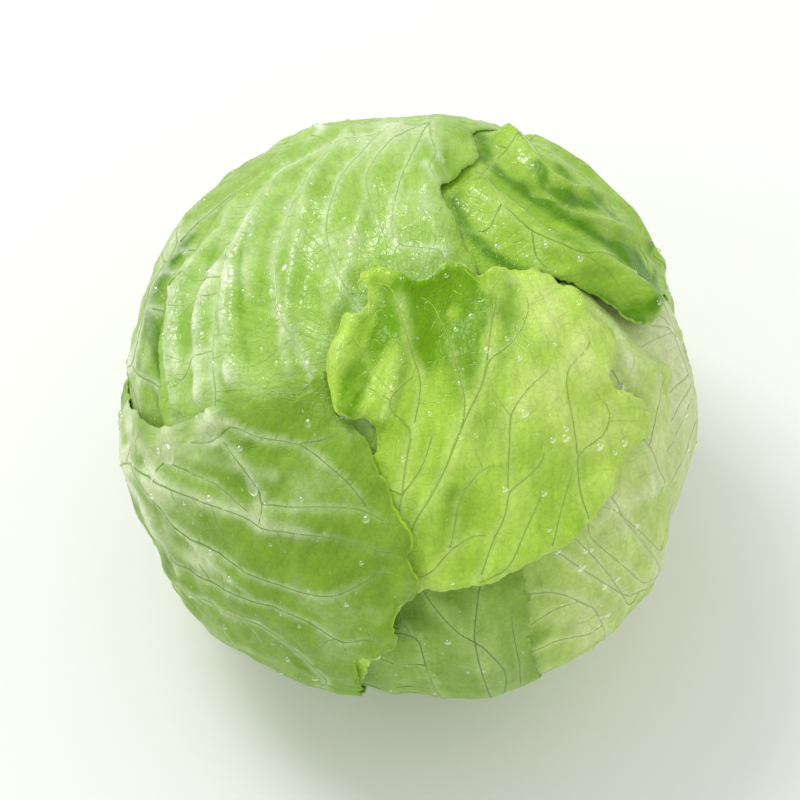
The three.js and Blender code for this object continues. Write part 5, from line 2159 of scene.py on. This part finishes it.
@dataclass
class Studio:
    """The pale floor, the soft light and the camera.

    Attributes:
        floor: The floor's screen colour.
        sky: The strength of the light from all round.
        key: The strength of the soft lamp overhead, in watts.
        key_size: Its width in metres.
        key_place: Where it hangs, in metres.
        glint: The strength of the small lamp behind the head, which only shiny surfaces mirror.
        glint_size: Its width.
        glint_place: Where it hangs.
    """

    floor: tuple[int, int, int] = (250, 250, 248)
    sky: float = 0.76
    key: float = 6.3
    key_size: float = 0.45
    key_place: tuple[float, float, float] = (-0.5, 0.35, 1.2)
    glint: float = 16.0
    glint_size: float = 0.2
    glint_place: tuple[float, float, float] = (-0.25, 0.75, 1.15)

    def build(self) -> None:
        """Sets up the floor, the lights, the camera and how brightness is shown."""
        scene = bpy.context.scene
        material, shader, make = new_material("studio floor")
        make.fill(shader, Base_Color=linear(*self.floor), Roughness=0.9)
        bpy.ops.mesh.primitive_plane_add(size=6.0, location=(0, 0, 0))
        floor = bpy.context.object
        floor.name = "floor"
        floor.data.materials.append(material)
        world = bpy.data.worlds.new("studio light")
        world.use_nodes = True
        world.node_tree.nodes["Background"].inputs["Color"].default_value = WHITE
        world.node_tree.nodes["Background"].inputs["Strength"].default_value = self.sky
        scene.world = world
        self.lamp("soft overhead lamp", self.key, self.key_size, self.key_place)
        self.lamp("glint lamp", self.glint, self.glint_size, self.glint_place).visible_diffuse = False
        scene.view_settings.view_transform = "Standard"
        self.camera()

    def lamp(self, name: str, strength: float, size: float, place: tuple[float, ...]) -> bpy.types.Object:
        """Hangs a square lamp that faces the head.

        Args:
            name: Its name.
            strength: In watts.
            size: Its width in metres.
            place: Where it hangs, in metres.

        Returns:
            The lamp.
        """
        light = bpy.data.lights.new(name, "AREA")
        light.energy = strength
        light.size = size
        hung = bpy.data.objects.new(name, light)
        hung.location = place
        away = Vector(place) - Vector((0.0, 0.0, MIDDLE_HEIGHT * MM))
        hung.rotation_euler = away.to_track_quat("Z", "Y").to_euler()
        bpy.context.scene.collection.objects.link(hung)
        return hung

    def camera(self) -> None:
        """Places the camera at the photo's own angle."""
        scene = bpy.context.scene
        lens = bpy.data.cameras.new("camera")
        lens.sensor_width = VIEW.sensor
        lens.lens = lens.sensor_width * VIEW.distance * VIEW.scale / VIEW.frame
        camera = bpy.data.objects.new("camera", lens)
        across = (VIEW.middle[0] - VIEW.frame / 2) / VIEW.scale
        above = (VIEW.middle[1] - VIEW.frame / 2) / VIEW.scale
        place = VIEW.towards * VIEW.distance - VIEW.right * across + VIEW.up * above
        camera.location = Vector((place + np.array([0.0, 0.0, MIDDLE_HEIGHT])) * MM)
        camera.rotation_euler = (-Vector(VIEW.towards)).to_track_quat("-Z", "Y").to_euler()
        scene.collection.objects.link(camera)
        scene.camera = camera


def outermost(makers: list[LeafMesh]) -> Callable[[Array], Array]:
    """Makes a function that measures to the head's outside.

    Args:
        makers: The leaves' builders.

    Returns:
        The function: it takes directions and returns distances from the middle.
    """

    def measure(directions: Array) -> Array:
        """Measures to the outermost leaf's outer face.

        Args:
            directions: Where.

        Returns:
            The distances.
        """
        reach = np.zeros(len(directions))
        for maker in makers:
            here = maker.surface(directions)["reach"] + maker.thickness / 2
            reach = np.maximum(reach, np.where(maker.leaf.inside(directions), here, 0.0))
        return reach

    return measure


def main() -> None:
    """Builds the head, its dew and the studio, and hands them to the frame."""
    logging.basicConfig(level=logging.INFO, format="%(name)s: %(message)s")
    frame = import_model()
    LOG.info("frame: %s", ", ".join(sorted(frame["nodes"])))
    leaves = [Leaf(plan) for plan in PLANS]
    head = Head(leaves)
    makers = [LeafMesh(leaf, head) for leaf in leaves]
    bare = []
    for maker in makers:
        plan = maker.leaf.plan
        blade, open_faces = maker.blade()
        bare.append(open_faces)
        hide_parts(plan.name)
        for piece in (blade, maker.veins()):
            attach(piece, "root")
            LOG.info("%s: %d faces", piece.name, len(piece.data.polygons))
    for piece, node, slot in ((Heart(head).build(), "heart", "heart"), (Stem().build(), "stem", "cut_stem")):
        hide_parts(node)
        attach(piece, "root")
        LOG.info("%s: %d faces", piece.name, len(piece.data.polygons))
    studio = Studio()
    dew = Dew(studio.key_place)
    for piece in (dew.build(np.vstack(bare)), dew.build_large(outermost(makers))):
        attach(piece, "root")
        LOG.info("%s: %d faces", piece.name, len(piece.data.polygons))
    studio.build()


if __name__ == "__main__":
    main()
